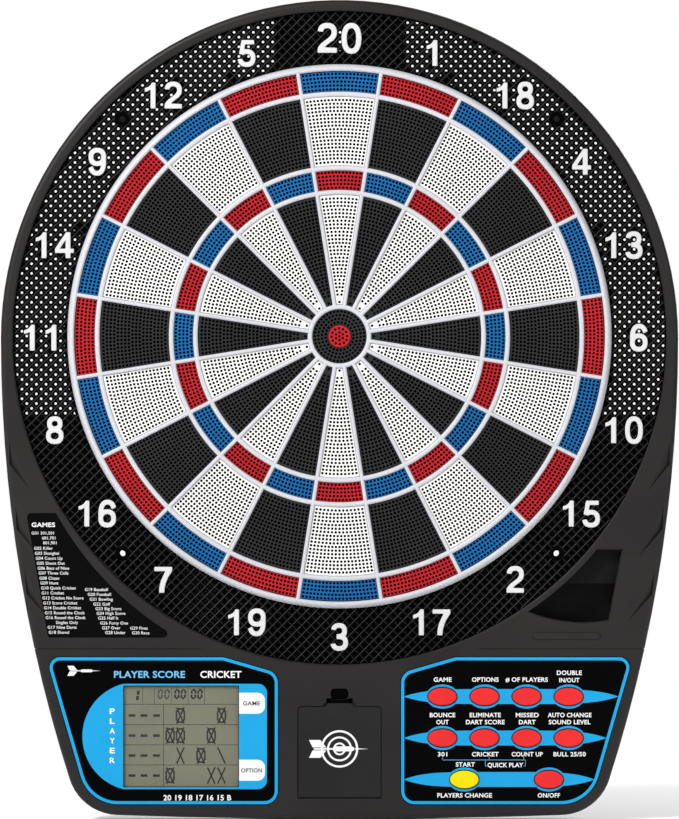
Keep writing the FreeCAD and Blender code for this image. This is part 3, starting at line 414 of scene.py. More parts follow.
CONTACT = finish_material("nickel", (196, 190, 178), 0.1, (0.22, 0.4), metal=1.0,
                          brushed=(8.0, 1.0, 1.0))
SCREW = finish_material("zinc_screw", (170, 168, 160), 0.15, (0.25, 0.42), blotch=160.0, metal=1.0)
SPEAKER = finish_material("speaker_steel", (90, 90, 92), 0.2, (0.35, 0.5), blotch=50.0, metal=0.8)

NODE_LOOKS = {name: KEY_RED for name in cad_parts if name.startswith("button_")}
NODE_LOOKS.update({
    "front_housing": HOUSING, "rear_cover": REAR, "foam_pad": FOAM, "matrix_film": FILM,
    "display_fascia": FASCIA, "control_fascia": FASCIA, "lcd_lens": LENS, "lcd_panel": LCD_GLASS,
    "lcd_holder": INNER, "main_board": BOARD, "key_board": BOARD, "key_mat": RUBBER,
    "battery_door": DOOR, "battery_tray": INNER, "battery_cells": CELL,
    "battery_contacts": CONTACT, "speaker": SPEAKER, "wiring": WIRE, "dart_bin": POCKET,
    "games_card": CARD, "screws": SCREW, "button_start": KEY_YELLOW,
})
for name, material in NODE_LOOKS.items():
    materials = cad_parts[name].data.materials
    for index in range(len(materials)):
        materials[index] = material
    if not materials:
        materials.append(material)


# ---- scoring segments
HOLE_SIDES = 8
HOLE_R = 1.0
HOLE_LIP = 0.06
HOLE_DEPTH = 3.0
HOLE_PITCH = 2.65
SIDE_MARGIN = 1.7
EDGE = 0.3
BULL_HOLE_R = 0.95
# each ring of holes in a bull is turned on by this many degrees for each millimetre of its radius
RING_TURN = 11.0


def drill(build, x, z, radius, front, turn):
    """A blind dart hole with a broken edge and painted shade on its wall and floor; returns its rim."""
    rim = build.row(circle(x, z, radius + HOLE_LIP, HOLE_SIDES, turn), front)
    neck = build.row(circle(x, z, radius, HOLE_SIDES, turn), front - HOLE_LIP)
    foot = build.row(circle(x, z, radius, HOLE_SIDES, turn), front - HOLE_DEPTH)
    build.band(rim, neck)
    # below the lip the wall and the floor take slot 1, painted dark as the shade deep in the hole
    build.band(neck, foot, 1)
    build.face(foot, 1)
    return rim


def half_angle(radius, gap):
    return HALF_SECTOR - math.asin(gap / radius)


def sector_outline(low, high, gap, steps=14):
    """A sector's block, anticlockwise, about the +X axis; its sides follow the webs."""
    outer, inner = half_angle(high, gap), half_angle(low, gap)
    shares = [2 * k / steps - 1 for k in range(steps + 1)]
    return ([(high * math.cos(outer * share), high * math.sin(outer * share)) for share in shares]
            + [(low * math.cos(inner * -share), low * math.sin(inner * -share)) for share in shares])


def sector_holes(first, last, rows, gap):
    """Rows of holes that follow the arcs; each row's first and last holes follow the webs."""
    for row in range(rows):
        radius = first + (last - first) * row / (rows - 1)
        half = half_angle(radius, gap + SIDE_MARGIN)
        count = int(round(2 * half * radius / HOLE_PITCH)) + 1
        for k in range(count):
            turn = half * (2 * k / (count - 1) - 1) if count > 1 else 0.0
            yield radius * math.cos(turn), radius * math.sin(turn), math.degrees(turn)


def wall_rows(build, outline, eased):
    """Rows at a segment's back, at its shoulder and, past its broken edge, at its front."""
    return [build.row(outline, SEGMENT_BACK), build.row(outline, SEGMENT_FRONT - EDGE),
            build.row(eased, SEGMENT_FRONT)]


def segment_mesh(radii, first, last, rows):
    """One segment about the +X axis, with rows of dart holes from one radius to another."""
    build = Build()
    low, high, gap = radii[0] + PLAY, radii[1] - PLAY, WEB_W / 2 + PLAY
    foot, shoulder, crest = wall_rows(build, sector_outline(low, high, gap),
                                      sector_outline(low + EDGE, high - EDGE, gap + EDGE))
    build.band(foot, shoulder)
    build.band(shoulder, crest)
    rims = [drill(build, x, z, HOLE_R, SEGMENT_FRONT, turn)
            for x, z, turn in sector_holes(first, last, rows, gap)]
    build.fill(crest, rims)
    build.face(reversed(foot))
    return build.mesh("segment", [SEGMENT_LOOKS["white"], HOLE_SHADE_LOOKS["white"]])


def place_segments():
    """Four kinds of segment in each of the twenty sectors."""
    kinds = {
        "double": (segment_mesh(DOUBLE_R, 178.4, 189.6, 5), ("blue", "red"), "doubles_{colour}"),
        "single_outer": (segment_mesh(OUTER_SINGLE_R, 125.9, 170.7, 18), ("white", "black"),
                         "single_{number:02d}"),
        "triple": (segment_mesh(TRIPLE_R, 107.4, 118.3, 5), ("red", "blue"), "triples_{colour}"),
        "single_inner": (segment_mesh(INNER_SINGLE_R, 24.8, 99.6, 29), ("white", "black"),
                         "single_{number:02d}"),
    }
    for place, number in enumerate(CLOCKWISE):
        turn = math.radians(90.0 - SECTOR * place)
        for kind, (pattern, colours, node) in kinds.items():
            colour = colours[place % 2]
            mesh = pattern.copy()
            mesh.transform(Matrix.Rotation(-turn, 4, "Y"))
            mesh.materials[0] = SEGMENT_LOOKS[colour]
            mesh.materials[1] = HOLE_SHADE_LOOKS[colour]
            name = node.format(colour=colour, number=number)
            show(f"{kind}_{number:02d}", mesh, f"{name}_body", [name])


def bull(name, low, high, rings, colour, radius):
    """A bull ring or disc with rings of holes; low is 0 for the disc."""
    build = Build()
    steps = 72
    foot, shoulder, crest = wall_rows(build, circle(0, 0, high, steps), circle(0, 0, high - EDGE, steps))
    build.band(foot, shoulder)
    build.band(shoulder, crest)
    rims = []
    for count, at in rings:
        for k in range(count):
            turn = 360.0 * k / count + RING_TURN * at
            x, z = polar(at, turn)
            rims.append(drill(build, x, z, radius, SEGMENT_FRONT, turn))
    if low:
        inner_foot, inner_shoulder, inner_crest = wall_rows(
            build, circle(0, 0, low, steps), circle(0, 0, low + EDGE, steps))
        build.band(inner_shoulder, inner_foot)
        build.band(inner_crest, inner_shoulder)
        rims.append(inner_crest)
        build.band(inner_foot, foot)
    else:
        build.face(reversed(foot))
    build.fill(crest, rims)
    build.piece(name, [SEGMENT_LOOKS[colour], HOLE_SHADE_LOOKS[colour]], f"segment_{colour}",
                f"{name}_body", [name])


place_segments()
bull("bull_outer", BULL_OUTER_R[0] + PLAY, BULL_OUTER_R[1] - PLAY,
     ((24, 10.1), (30, 12.7), (36, 15.3), (42, 17.9)), "black", BULL_HOLE_R)
bull("bull_inner", 0.0, BULL_OUTER_R[0] - PLAY, ((1, 0.0), (6, 2.8), (12, 5.7)), "red", HOLE_R)


# ---- spider
WEB_BACK = 19.2
WEB_SHOULDER = 31.3
WEB_CROWN = 32.6
# how far the webs between sectors reach into the rings that they join
WEB_LAP = (1.2, 1.5)


def domed(half, steps=8):
    """Cross-section of a web: straight sides under a rounded crown, as (offset, depth)."""
    rise = WEB_CROWN - WEB_SHOULDER
    turns = [math.pi * k / steps for k in range(steps + 1)]
    dome = [(half * math.cos(turn), WEB_SHOULDER + rise * math.sin(turn)) for turn in turns]
    return [(half, WEB_BACK)] + dome + [(-half, WEB_BACK)]


def spider():
    """The white webs, rounded on top, and the heavy outer ring that slopes outwards."""
    build = Build()
    for outer, inner in ((DOUBLE_R[0], OUTER_SINGLE_R[1]), (OUTER_SINGLE_R[0], TRIPLE_R[1]),
                         (TRIPLE_R[0], INNER_SINGLE_R[1]), (INNER_SINGLE_R[0], BULL_OUTER_R[1])):
        middle, half = (outer + inner) / 2, (outer - inner) / 2
        build.spin([(middle + offset, depth) for offset, depth in domed(half)])
    inner, outer = DOUBLE_R[1] + 0.45, TARGET_R
    build.spin([(outer, SPIDER_BACK), (outer, 26.6), (outer - 0.3, 29.0), (outer - 0.75, 30.6),
                (outer - 1.5, 31.7), (outer - 2.4, 32.5), (outer - 3.2, 32.9), (outer - 3.9, 33.0),
                (inner + 0.95, 32.85), (inner + 0.35, 32.2), (inner, 31.2), (inner, SPIDER_BACK),
                (outer, SPIDER_BACK)])
    profile = domed(WEB_W / 2)
    for place in range(len(CLOCKWISE)):
        turn = math.radians(SECTOR / 2 + SECTOR * place)
        along = Vector((math.cos(turn), math.sin(turn)))
        side = Vector((along.y, -along.x))
        inner, outer = [build.across(along * reach, side, profile)
                        for reach in (BULL_OUTER_R[1] + WEB_LAP[0], DOUBLE_R[1] + WEB_LAP[1])]
        build.band(inner, outer, smooth=True, closed=False)
    build.piece("spider", [WEB], "spider", nodes=["spider"])


spider()


# ---- catch ring
BOSS_R = 3.6
PILOT_R = 1.5
CATCH_SCREW_R = TARGET_R + 6.3
TUBE_KEEP_OFF = 6.6
HOLE_MARGIN = 0.15
COLLAR_T = 2.0
# parts that are joined in one mesh lap by this much
LAP = 0.05
LATTICE_PITCH = 6.97
LATTICE_AT = (0.45, 3.7)
LATTICE_HOLE_R = 0.98
RIDGE_FOOT = 0.5
RIDGE_TOP = 0.2
RIDGE_H = 0.45
SHORTEST_RIDGE = 0.8
UPPER_TUBE_DISC_DEPTH = 24.0


def lattice_places():
    """Centres of the lattice's diamond cells that a whole hole fits in."""
    outlines = [point for loops in ring_figures() for loop in loops for point in loop]
    figures = KDTree(len(outlines))
    for k, (x, z) in enumerate(outlines):
        figures.insert((x, z, 0), k)
    figures.balance()
    count = int(2 * CATCH_R / LATTICE_PITCH) + 2
    for i in range(-count, count + 1):
        for j in range(-count, count + 1):
            if (i + j) % 2:
                continue
            x = LATTICE_AT[0] + i * LATTICE_PITCH / 2
            z = LATTICE_AT[1] + j * LATTICE_PITCH / 2
            inside = math.hypot(x, z) < CATCH_INNER_R + LATTICE_HOLE_R + HOLE_MARGIN
            outside = math.hypot(x, z + CATCH_DROP) > CATCH_R - LATTICE_HOLE_R - HOLE_MARGIN
            at_tube = any(math.hypot(x - sx, z - sz) < TUBE_KEEP_OFF for sx, sz in SCREW_TUBES)
            if not (inside or outside or at_tube or figures.find((x, z, 0))[2] < LATTICE_HOLE_R + 0.1):
                yield x, z


def cut_out(spans, start, heading, centre, radius):
    """Removes from spans along a line the part that lies in a circle."""
    to_centre = Vector(centre) - start
    middle = to_centre.dot(heading)
    off = to_centre.length_squared - middle ** 2
    if off >= radius ** 2:
        return spans
    reach = math.sqrt(radius ** 2 - off)
    kept = []
    for low, high in spans:
        kept.append((low, min(high, middle - reach)))
        kept.append((max(low, middle + reach), high))
    return [(low, high) for low, high in kept if high - low > SHORTEST_RIDGE]


def add_ridges(build):
    """Raised lines of the cross-hatching, both ways at 45 degrees, in painted light: lighter than the black
    plate, and the lines one way lighter than the other.
    """
    pitch = LATTICE_PITCH / math.sqrt(2)
    count = int(CATCH_R / pitch) + 2
    foot_depth, top_depth = CATCH_FRONT - LAP, CATCH_FRONT + RIDGE_H
    # slot 1 paints the lines that rise to the right as lit, slot 2 paints those that fall to the right as
    # shaded
    for slot, heading in ((1, Vector((1, 1)).normalized()), (2, Vector((1, -1)).normalized())):
        side = Vector((-heading.y, heading.x))
        section = ((-RIDGE_FOOT / 2, foot_depth), (-RIDGE_TOP / 2, top_depth), (RIDGE_TOP / 2, top_depth),
                   (RIDGE_FOOT / 2, foot_depth))
        for k in range(-count, count + 1):
            start = Vector(LATTICE_AT) + side * ((k + 0.5) * pitch)
            to_centre = Vector((0, -CATCH_DROP)) - start
            middle = to_centre.dot(heading)
            off = to_centre.length_squared - middle ** 2
            reach_squared = (CATCH_R - 0.4) ** 2 - off
            if reach_squared <= 0:
                continue
            reach = math.sqrt(reach_squared)
            spans = cut_out([(middle - reach, middle + reach)], start, heading, (0, 0), TARGET_R + 0.6)
            for tube in SCREW_TUBES:
                spans = cut_out(spans, start, heading, tube, WALL_BOSS_R)
            for low, high in spans:
                ends = []
                for at in (low, high):
                    ends.append(build.across(start + heading * at, side, section))
                build.band(ends[1], ends[0], slot, closed=False)
                build.face(ends[0], slot)
                build.face(reversed(ends[1]), slot)


def catch_ring():
    """The black field: a pierced plate, its hatching, the collar and the screw tubes behind."""
    build = Build()
    outlines = [circle(0, -CATCH_DROP, CATCH_R, 240), circle(0, 0, CATCH_INNER_R, 240)]
    outlines += [circle(x, z, WALL_SCREW_R, 24) for x, z in SCREW_TUBES]
    outlines += [circle(x, z, LATTICE_HOLE_R, 8, 22.5) for x, z in lattice_places()]
    fronts = [build.row(outline, CATCH_FRONT) for outline in outlines]
    backs = [build.row(outline, CATCH_BACK) for outline in outlines]
    twin = {f: b for front, back in zip(fronts, backs) for f, b in zip(front, back)}
    for a, b, c in build.fill(fronts[0], fronts[1:]):
        build.face((twin[c], twin[b], twin[a]))
    build.band(backs[0], fronts[0])
    for front, back in zip(fronts[1:], backs[1:]):
        build.band(front, back)
    top = CATCH_BACK + 0.2
    outer_r = CATCH_INNER_R + COLLAR_T
    build.spin([(outer_r, WELL_TOP), (outer_r, top), (CATCH_INNER_R, top), (CATCH_INNER_R, WELL_TOP),
                (outer_r, WELL_TOP)], smooth=False)
    for x, z in SCREW_TUBES:
        build.spin([(WALL_BOSS_R, 0.0), (WALL_BOSS_R, top)], (x, z), 32)
        build.spin([(WALL_SCREW_R, top), (WALL_SCREW_R, 0.0), (WALL_BOSS_R, 0.0)], (x, z), 32, smooth=False)
        rim = [(5.6, CATCH_FRONT - LAP), (5.35, CATCH_FRONT + 0.5), (5.1, CATCH_FRONT + 0.5),
               (4.8, CATCH_FRONT - LAP)]
        build.spin(rim, (x, z), 40)
        if z > 0:
            # a thin disc in the grey of the painted lit ridges closes each upper tube a little behind the
            # plate's front
            build.face(build.row(circle(x, z, WALL_SCREW_R, 24), UPPER_TUBE_DISC_DEPTH), 1)
    for k in range(8):
        place = polar(CATCH_SCREW_R, 22.5 + 45.0 * k)
        build.spin([(BOSS_R, WELL_TOP), (BOSS_R, top)], place, 24)
        build.spin([(PILOT_R, CATCH_BACK - 0.5), (PILOT_R, WELL_TOP), (BOSS_R, WELL_TOP)], place, 24,
                   smooth=False)
    add_ridges(build)
    build.piece("catch_ring", [LATTICE, RIDGE_PAINTED_LIT, RIDGE_PAINTED_SHADED], "catch_ring", nodes=["catch_ring"])


# ---- numerals
# a figure is drawn about 1 high, and these are in that unit
STROKE = 0.185
SMALLEST_LOOP = 0.004


def bowl(cx, cz, rx, rz, start, end, power=2.3, steps=40):
    """A thick curved stroke along part of a rounded oval."""
    outer, inner = [], []
    for k in range(steps + 1):
        turn = math.radians(start + (end - start) * k / steps)
        c, s = math.cos(turn), math.sin(turn)
        px = math.copysign(abs(c) ** (2 / power), c)
        pz = math.copysign(abs(s) ** (2 / power), s)
        outer.append((cx + (rx + STROKE / 2) * px, cz + (rz + STROKE / 2) * pz))
        inner.append((cx + (rx - STROKE / 2) * px, cz + (rz - STROKE / 2) * pz))
    return outer + inner[::-1]


def oval_stroke(cx, cz, rx, rz):
    """A whole oval, as two strokes that lap."""
    return [bowl(cx, cz, rx, rz, -2, 180), bowl(cx, cz, rx, rz, 178, 362)]


# a figure is (where it starts in its cell, its width, the shapes that make it up); round figures
# rise a little above and sink a little below the straight ones
GLYPHS = {
    "0": (.07, .69, oval_stroke(.345, .5, .2525, .4445)),
    "1": (.14, .42, [
        [(.225, 0), (.42, 0), (.42, 1), (.275, 1), (.235, .915), (.17, .85), (.09, .81), (0, .785),
         (0, .635), (.12, .665), (.225, .725)]]),
    "2": (.07, .69, [
        bowl(.34, .71, .24, .235, -20, 176),
        [(.6725, .66), (.65, .56), (.56, .44), (.42, .34), (.3, .25), (.25, .17), (.01, .17), (.04, .22),
         (.13, .33), (.26, .43), (.39, .53), (.455, .6), (.4875, .68), (.56, .72)],
        [(0, 0), (.675, 0), (.675, .175), (.24, .19), (.01, .175)]]),
    "3": (.07, .68, [
        bowl(.325, .735, .215, .21, -88, 172), bowl(.335, .28, .245, .225, -172, 88),
        [(.23, .42), (.36, .42), (.36, .61), (.23, .61)]]),
    "4": (.05, .73, [
        [(.41, 0), (.6, 0), (.6, 1), (.41, 1)], [(0, .2), (.73, .2), (.73, .365), (0, .365)],
        [(0, .3), (.19, .3), (.19, .365), (.42, .715), (.45, .76), (.45, 1), (.43, 1), (0, .365)]]),
    "5": (.07, .68, [
        bowl(.325, .305, .2525, .25, -174, 140), [(.13, .83), (.62, .83), (.62, 1), (.13, 1)],
        [(.035, .46), (.21, .43), (.28, .9), (.13, 1)]]),
    "6": (.07, .69, oval_stroke(.345, .315, .2475, .26) + [bowl(.36, .5, .2625, .4445, 24, 196)]),
    "7": (.06, .71, [
        [(0, .83), (.69, .83), (.69, 1), (0, 1)],
        [(.18, 0), (.385, 0), (.4, .2), (.45, .4), (.545, .62), (.69, .84), (.69, .9), (.46, .9),
         (.35, .68), (.25, .46), (.195, .22)]]),
    "8": (.07, .69, oval_stroke(.345, .75, .205, .195) + oval_stroke(.345, .28, .2475, .225)),
}
GLYPHS["9"] = (.07, .69, [[(.69 - x, 1 - z) for x, z in shape] for shape in GLYPHS["6"][2]])


def area_of(loop):
    return sum(p[0] * q[1] - q[0] * p[1] for p, q in zip(loop, loop[1:] + loop[:1])) / 2


def merged(outlines):
    """Outlines of overlapping shapes joined into one: outer loops turn anticlockwise."""
    points, edges = [], []
    for outline in outlines:
        first = len(points)
        points += [Vector(p) for p in outline]
        edges += [(first + i, first + (i + 1) % len(outline)) for i in range(len(outline))]
    places, _, triangles, _, _, _ = delaunay_2d_cdt(points, edges, [], 0, 1e-5)
    ahead = {}
    for triangle in triangles:
        middle = sum((places[i] for i in triangle), Vector((0, 0))) / 3
        if any(encloses(outline, middle.x, middle.y) for outline in outlines):
            corners = triangle if turns_left(*[places[i] for i in triangle]) else triangle[::-1]
            for start, end in zip(corners, corners[1:] + corners[:1]):
                if ahead.get(end) and start in ahead[end]:
                    ahead[end].remove(start)
                else:
                    ahead.setdefault(start, []).append(end)
    loops = []
    while any(ahead.values()):
        start = next(key for key, ends in ahead.items() if ends)
        loop, here = [], start
        while ahead.get(here):
            loop.append(tuple(places[here]))
            here = ahead[here].pop()
        loops.append(loop)
    return [loop for loop in loops if abs(area_of(loop)) > SMALLEST_LOOP]


def evened(loop, pitch, passes):
    """The loop walked at an even pitch, with its corners eased."""
    lengths = [math.dist(p, q) for p, q in zip(loop, loop[1:] + loop[:1])]
    total = sum(lengths)
    count = max(12, int(total / pitch))
    points, at, k, done = [], 0.0, 0, 0.0
    for step in range(count):
        target = total * step / count
        while done + lengths[k] < target:
            done += lengths[k]
            k += 1
        share = (target - done) / max(lengths[k], 1e-9)
        (x0, z0), (x1, z1) = loop[k], loop[(k + 1) % len(loop)]
        points.append((x0 + (x1 - x0) * share, z0 + (z1 - z0) * share))
    for _ in range(passes):
        points = [((a[0] + 2 * b[0] + c[0]) / 4, (a[1] + 2 * b[1] + c[1]) / 4)
                  for a, b, c in zip(points[-1:] + points[:-1], points, points[1:] + points[:1])]
    return points


@functools.cache
def glyph_loops(symbol):
    return [evened(loop, 0.02, 2) for loop in merged(GLYPHS[symbol][2])]


def ring_figures():
    """Outlines of every figure, number by number round the ring."""
    for place, number in enumerate(CLOCKWISE):
        cx, cz = polar(NUMERAL_R, 90.0 - SECTOR * place, (0.0, -CATCH_DROP))
        height = TOP_NUMERAL_H if place == 0 else NUMERAL_H
        text = str(number)
        starts = [NUMERAL_PITCH * k + GLYPHS[symbol][0] for k, symbol in enumerate(text)]
        middle = (starts[0] + starts[-1] + GLYPHS[text[-1]][1]) / 2
        for symbol, start in zip(text, starts):
            left = cx + (start - middle) * height
            yield [[(left + x * height, cz - height / 2 + z * height) for x, z in loop]
                   for loop in glyph_loops(symbol)]


def numerals():
    """The raised numbers, each figure with a rounded shoulder."""
    build = Build()
    for loops in ring_figures():
        crests = []
        for loop in loops:
            foot = build.row(loop, CATCH_FRONT - 0.1)
            shoulder = build.row(loop, NUMERAL_FRONT - 0.55)
            ease = build.row(inward(loop, 0.18), NUMERAL_FRONT - 0.16)
            crest = build.row(inward(loop, 0.55), NUMERAL_FRONT)
            build.band(foot, shoulder)
            build.band(shoulder, ease, smooth=True)
            build.band(ease, crest, smooth=True)
            crests.append(crest)
        outer = max(range(len(loops)), key=lambda k: abs(area_of(loops[k])))
        build.fill(crests[outer], [crest for k, crest in enumerate(crests) if k != outer])
    build.piece("ring_numerals", [NUMERAL], "numeral", nodes=["ring_numerals"])


numerals()
catch_ring()


# ---- lettering and prints
INK_T = 0.03
INK_1, INK_2, INK_3 = [DECK_FRONT + INK_T * layer for layer in (1, 2, 3)]
CAPITAL_H = 0.75
LINE_W = 0.3
PANEL = ((44.05, -242.9, 10.0), (83.7, -231.35, 10.0), (212.55, -231.35, 8.0), (181.45, -338.45, 28.7),
         (44.05, -338.45, 10.0))
BORDER = (0.5, 2.7)
LENS_LEDGE = 2.0


def text_outline(text, weight):
    """Flat triangles of a line of text, about 1 high."""
    curve = bpy.data.curves.new("line_of_text", "FONT")
    curve.body = text
    curve.size = 1.0
    curve.offset = weight
    curve.resolution_u = 3
    curve.space_character = 1.05
    holder = place_object("line_of_text", curve)
    graph = bpy.context.evaluated_depsgraph_get()
    mesh = bpy.data.meshes.new_from_object(holder.evaluated_get(graph))
    points = [(v.co.x, v.co.y) for v in mesh.vertices]
    faces = [tuple(p.vertices) for p in mesh.polygons]
    bpy.data.meshes.remove(mesh)
    bpy.data.objects.remove(holder)
    bpy.data.curves.remove(curve)
    return points, faces


def letter(build, text, x, z, cap, width=None, slot=0, depth=INK_2, left=False, weight=0.022):
    """Prints a line of text about a place; cap is the height of its capitals."""
    points, faces = text_outline(text, weight)
    low_x, high_x = min(p[0] for p in points), max(p[0] for p in points)
    scale = cap / CAPITAL_H
    wide = scale if width is None else width / (high_x - low_x)
    start = x if left else x - wide * (high_x - low_x) / 2
    first = len(build.points)
    build.points += [(start + (px - low_x) * wide, z - cap / 2 + pz * scale, depth)
                     for px, pz in points]
    for face in faces:
        corners = [first + i for i in face]
        outwards = turns_left(*[build.points[i] for i in corners[:3]])
        build.face(corners if outwards else corners[::-1], slot)


def panel_corners(sign):
    """A panel's corners, anticlockwise: sign 1 is the key panel, -1 the display panel."""
    corners = [(sign * x, z, radius) for x, z, radius in PANEL]
    return corners[::-1] if sign > 0 else corners


def border(build, sign):
    """The blue line just inside a panel's edge."""
    outer, inner = [build.row(rounded(shrunk(panel_corners(sign), inset), 14), INK_1)
                    for inset in BORDER]
    build.band(outer, inner)


def window():
    """Left, right, low and high edges of the part of the display that shows."""
    low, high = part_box("lcd_lens")
    return (low.x / MM + LENS_LEDGE, high.x / MM - LENS_LEDGE, low.z / MM + LENS_LEDGE,
            high.z / MM - LENS_LEDGE)


def display_print():
    """Everything printed on the display panel, in blue, pale blue, white and grey."""
    build = Build()
    border(build, -1)
    left, right, low, high = window()
    middle = (low + high) / 2
    shape = arc_points((left + 9.8, middle), 39.2, 104.5, 255.5, 40)
    shape = [p for p in shape if p[0] < left]
    foot, top, far = low - 1.2, high + 1.2, right + 20.1
    shape += rounded([(left, foot, 0.3), (far, foot, 6.5), (far, top, 6.5), (left, top, 0.3)])
    opening = rounded([(left, low, 0.8), (right, low, 0.8), (right, high, 0.8), (left, high, 0.8)])
    build.print_on(shape, INK_1, 0, [opening])
    for text, z, width in (("GAME", high - 12.8, 12.4), ("OPTION", low + 12.5, 15.2)):
        foot, top, far = z - 7.6, z + 7.6, right + 18.7
        tab = rounded([(right, foot, 0.3), (far, foot, 5.4), (far, top, 5.4), (right, top, 0.3)])
        build.print_on(tab, INK_2, 2)
        letter(build, text, right + 9.0, z, 3.1, width, 3, INK_3)
    letter(build, "PLAYER SCORE", -137.2, -244.0, 5.1, 51.3, 1)
    letter(build, "CRICKET", -85.7, -244.0, 5.1, 29.7, 2)
    for k, symbol in enumerate("PLAYER"):
        letter(build, symbol, -164.1, -270.6 - 7.1 * k, 4.2, 3.7, 2)
    letter(build, "20 19 18 17 16 15 B", -102.7, -333.1, 4.1, 49.0, 2)
    small_dart(build, -184.5, -241.6, 24.0, 2)
    build.piece("display_print", [PRINT_BLUE, PRINT_PALE_BLUE, PRINT_WHITE, PRINT_GREY], "panel_print")


def small_dart(build, cx, cz, length, slot, depth=INK_2):
    """A plain dart, point to the right: flight, shaft, barrel and tip."""
    unit = length / 10.0

    def area(points):
        build.print_on([(cx + x * unit, cz + z * unit) for x, z in points], depth, slot)

    area([(-5.0, 1.5), (-4.4, 0.25), (-2.1, 0.25), (-3.1, 1.5)][::-1])
    area([(-5.0, -1.5), (-3.1, -1.5), (-2.1, -0.25), (-4.4, -0.25)])
    area([(-4.2, -0.14), (-1.0, -0.14), (-1.0, 0.14), (-4.2, 0.14)])
    area([(-1.0, -0.2), (-0.7, -0.42), (2.2, -0.42), (2.6, -0.2), (2.6, 0.2), (2.2, 0.42), (-0.7, 0.42),
          (-1.0, 0.2)])
    area([(2.7, -0.12), (5.0, 0.0), (2.7, 0.12)])


# words on the key panel, row by row: (height, (word, place across, width) ...)
LABELS = (
    (-247.8, ("GAME", 74.5, 13.0), ("OPTIONS", 105.3, 19.3), ("# OF PLAYERS", 135.2, 30.6)),
    (-242.9, ("DOUBLE", 166.0, 18.1)), (-248.2, ("IN/OUT", 166.0, 14.6)),
    (-273.4, ("BOUNCE", 74.4, 18.4), ("ELIMINATE", 105.3, 22.5), ("MISSED", 135.6, 16.7),
     ("AUTO CHANGE", 166.2, 31.6)),
    (-278.5, ("OUT", 74.4, 9.0), ("DART SCORE", 105.3, 28.0), ("DART", 135.6, 12.1),
     ("SOUND LEVEL", 166.2, 30.2)),
    (-301.7, ("301", 74.4, 6.9), ("CRICKET", 105.3, 19.3), ("COUNT UP", 135.6, 22.5),
     ("BULL 25/50", 166.2, 23.3)),
    (-309.1, ("START", 90.9, 13.8)), (-309.5, ("QUICK PLAY", 119.8, 25.8)),
    (-331.4, ("PLAYERS CHANGE", 90.4, 39.5), ("ON/OFF", 151.2, 16.1)),
)
# half widths and half heights of a key's hole in the print and of the pale ring round it
KEY_HOLE = (11.0, 7.1)
KEY_RING = (11.85, 8.7)
# each row of keys is printed with a long blue spindle, this high at its middle
SPINDLE_HALF_H = 5.4
SPINDLE_POWER = 5.0


def side_x(z):
    """Inner edge of the blue line on the key panel's slanted side."""
    (x0, z0, _), (x1, z1, _) = PANEL[2], PANEL[3]
    return x0 + (x1 - x0) * (z - z0) / (z1 - z0) - 3.0


def key_print():
    """Everything printed on the key panel."""
    build = Build()
    border(build, 1)
    keys = {}
    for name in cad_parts:
        if name.startswith("button_"):
            low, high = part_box(name)
            keys[name] = ((low.x + high.x) / 2 / MM, (low.z + high.z) / 2 / MM)
    holes = {name: oval(x, z, *KEY_HOLE) for name, (x, z) in keys.items()}
    for z in sorted({round(place[1], 2) for place in keys.values()}):
        tips = (PANEL[0][0] + 2.4, side_x(z) + 0.3)
        middle, half = (tips[0] + tips[1]) / 2, (tips[1] - tips[0]) / 2
        top, bottom = [], []
        for share in [2 * k / 60 - 1 for k in range(61)]:
            tall = SPINDLE_HALF_H * (1 - abs(share) ** SPINDLE_POWER)
            top.append((middle + half * share, z + tall))
            bottom.append((middle + half * share, z - tall))
        in_row = [holes[name] for name, place in keys.items() if abs(place[1] - z) < 1]
        build.print_on(bottom[:-1] + top[:0:-1], INK_1, 0, in_row)
    for name, (x, z) in keys.items():
        build.band(build.row(oval(x, z, *KEY_RING), INK_2), build.row(holes[name], INK_2))
    for z, *words in LABELS:
        for text, x, width in words:
            letter(build, text, x, z, 3.3, width, 2, INK_3)
    top, rail, foot = -304.0, -306.0, -310.4
    for points in ([(74.4, top), (74.4, rail), (134.2, rail), (134.2, foot)],
                   [(105.3, rail), (105.3, foot), (106.2, foot)], [(134.2, foot), (133.3, foot)],
                   [(108.1, top), (108.1, rail)], [(133.0, top), (133.0, rail)]):
        build.stroke(points, LINE_W, INK_2, 1)
    build.piece("key_print", [PRINT_BLUE, PRINT_PALE_BLUE, PRINT_WHITE], "panel_print")


display_print()
key_print()


# ---- liquid-crystal display
# lines of the grid, right of and below the window's top left corner
GRID_ROWS = (13.7, 28.4, 43.0, 57.5)
GRID_COLUMN = 29.2
HEAD_COLUMNS = (13.9, 22.5, 35.1, 46.9, 58.8)
GRID_W = 0.45
FRAME_INSET = 0.5
MARK_ROWS = (21.8, 36.3, 50.7, 65.2)
MARK_COLUMNS = [33.9 + 7.43 * k for k in range(6)]
MARKS = ((0, 1, "O"), (0, 5, "O"), (1, 0, "O"), (1, 1, "O"), (1, 4, "O"), (2, 1, "X"), (2, 3, "O"),
         (2, 5, "L"), (3, 0, "O"), (3, 4, "X"), (3, 5, "X"))
MARK_RING = [(-1.2, -4.9), (1.2, -4.9), (2.9, -2.8), (2.9, 2.8), (1.2, 4.9), (-1.2, 4.9), (-2.9, 2.8),
             (-2.9, -2.8)]


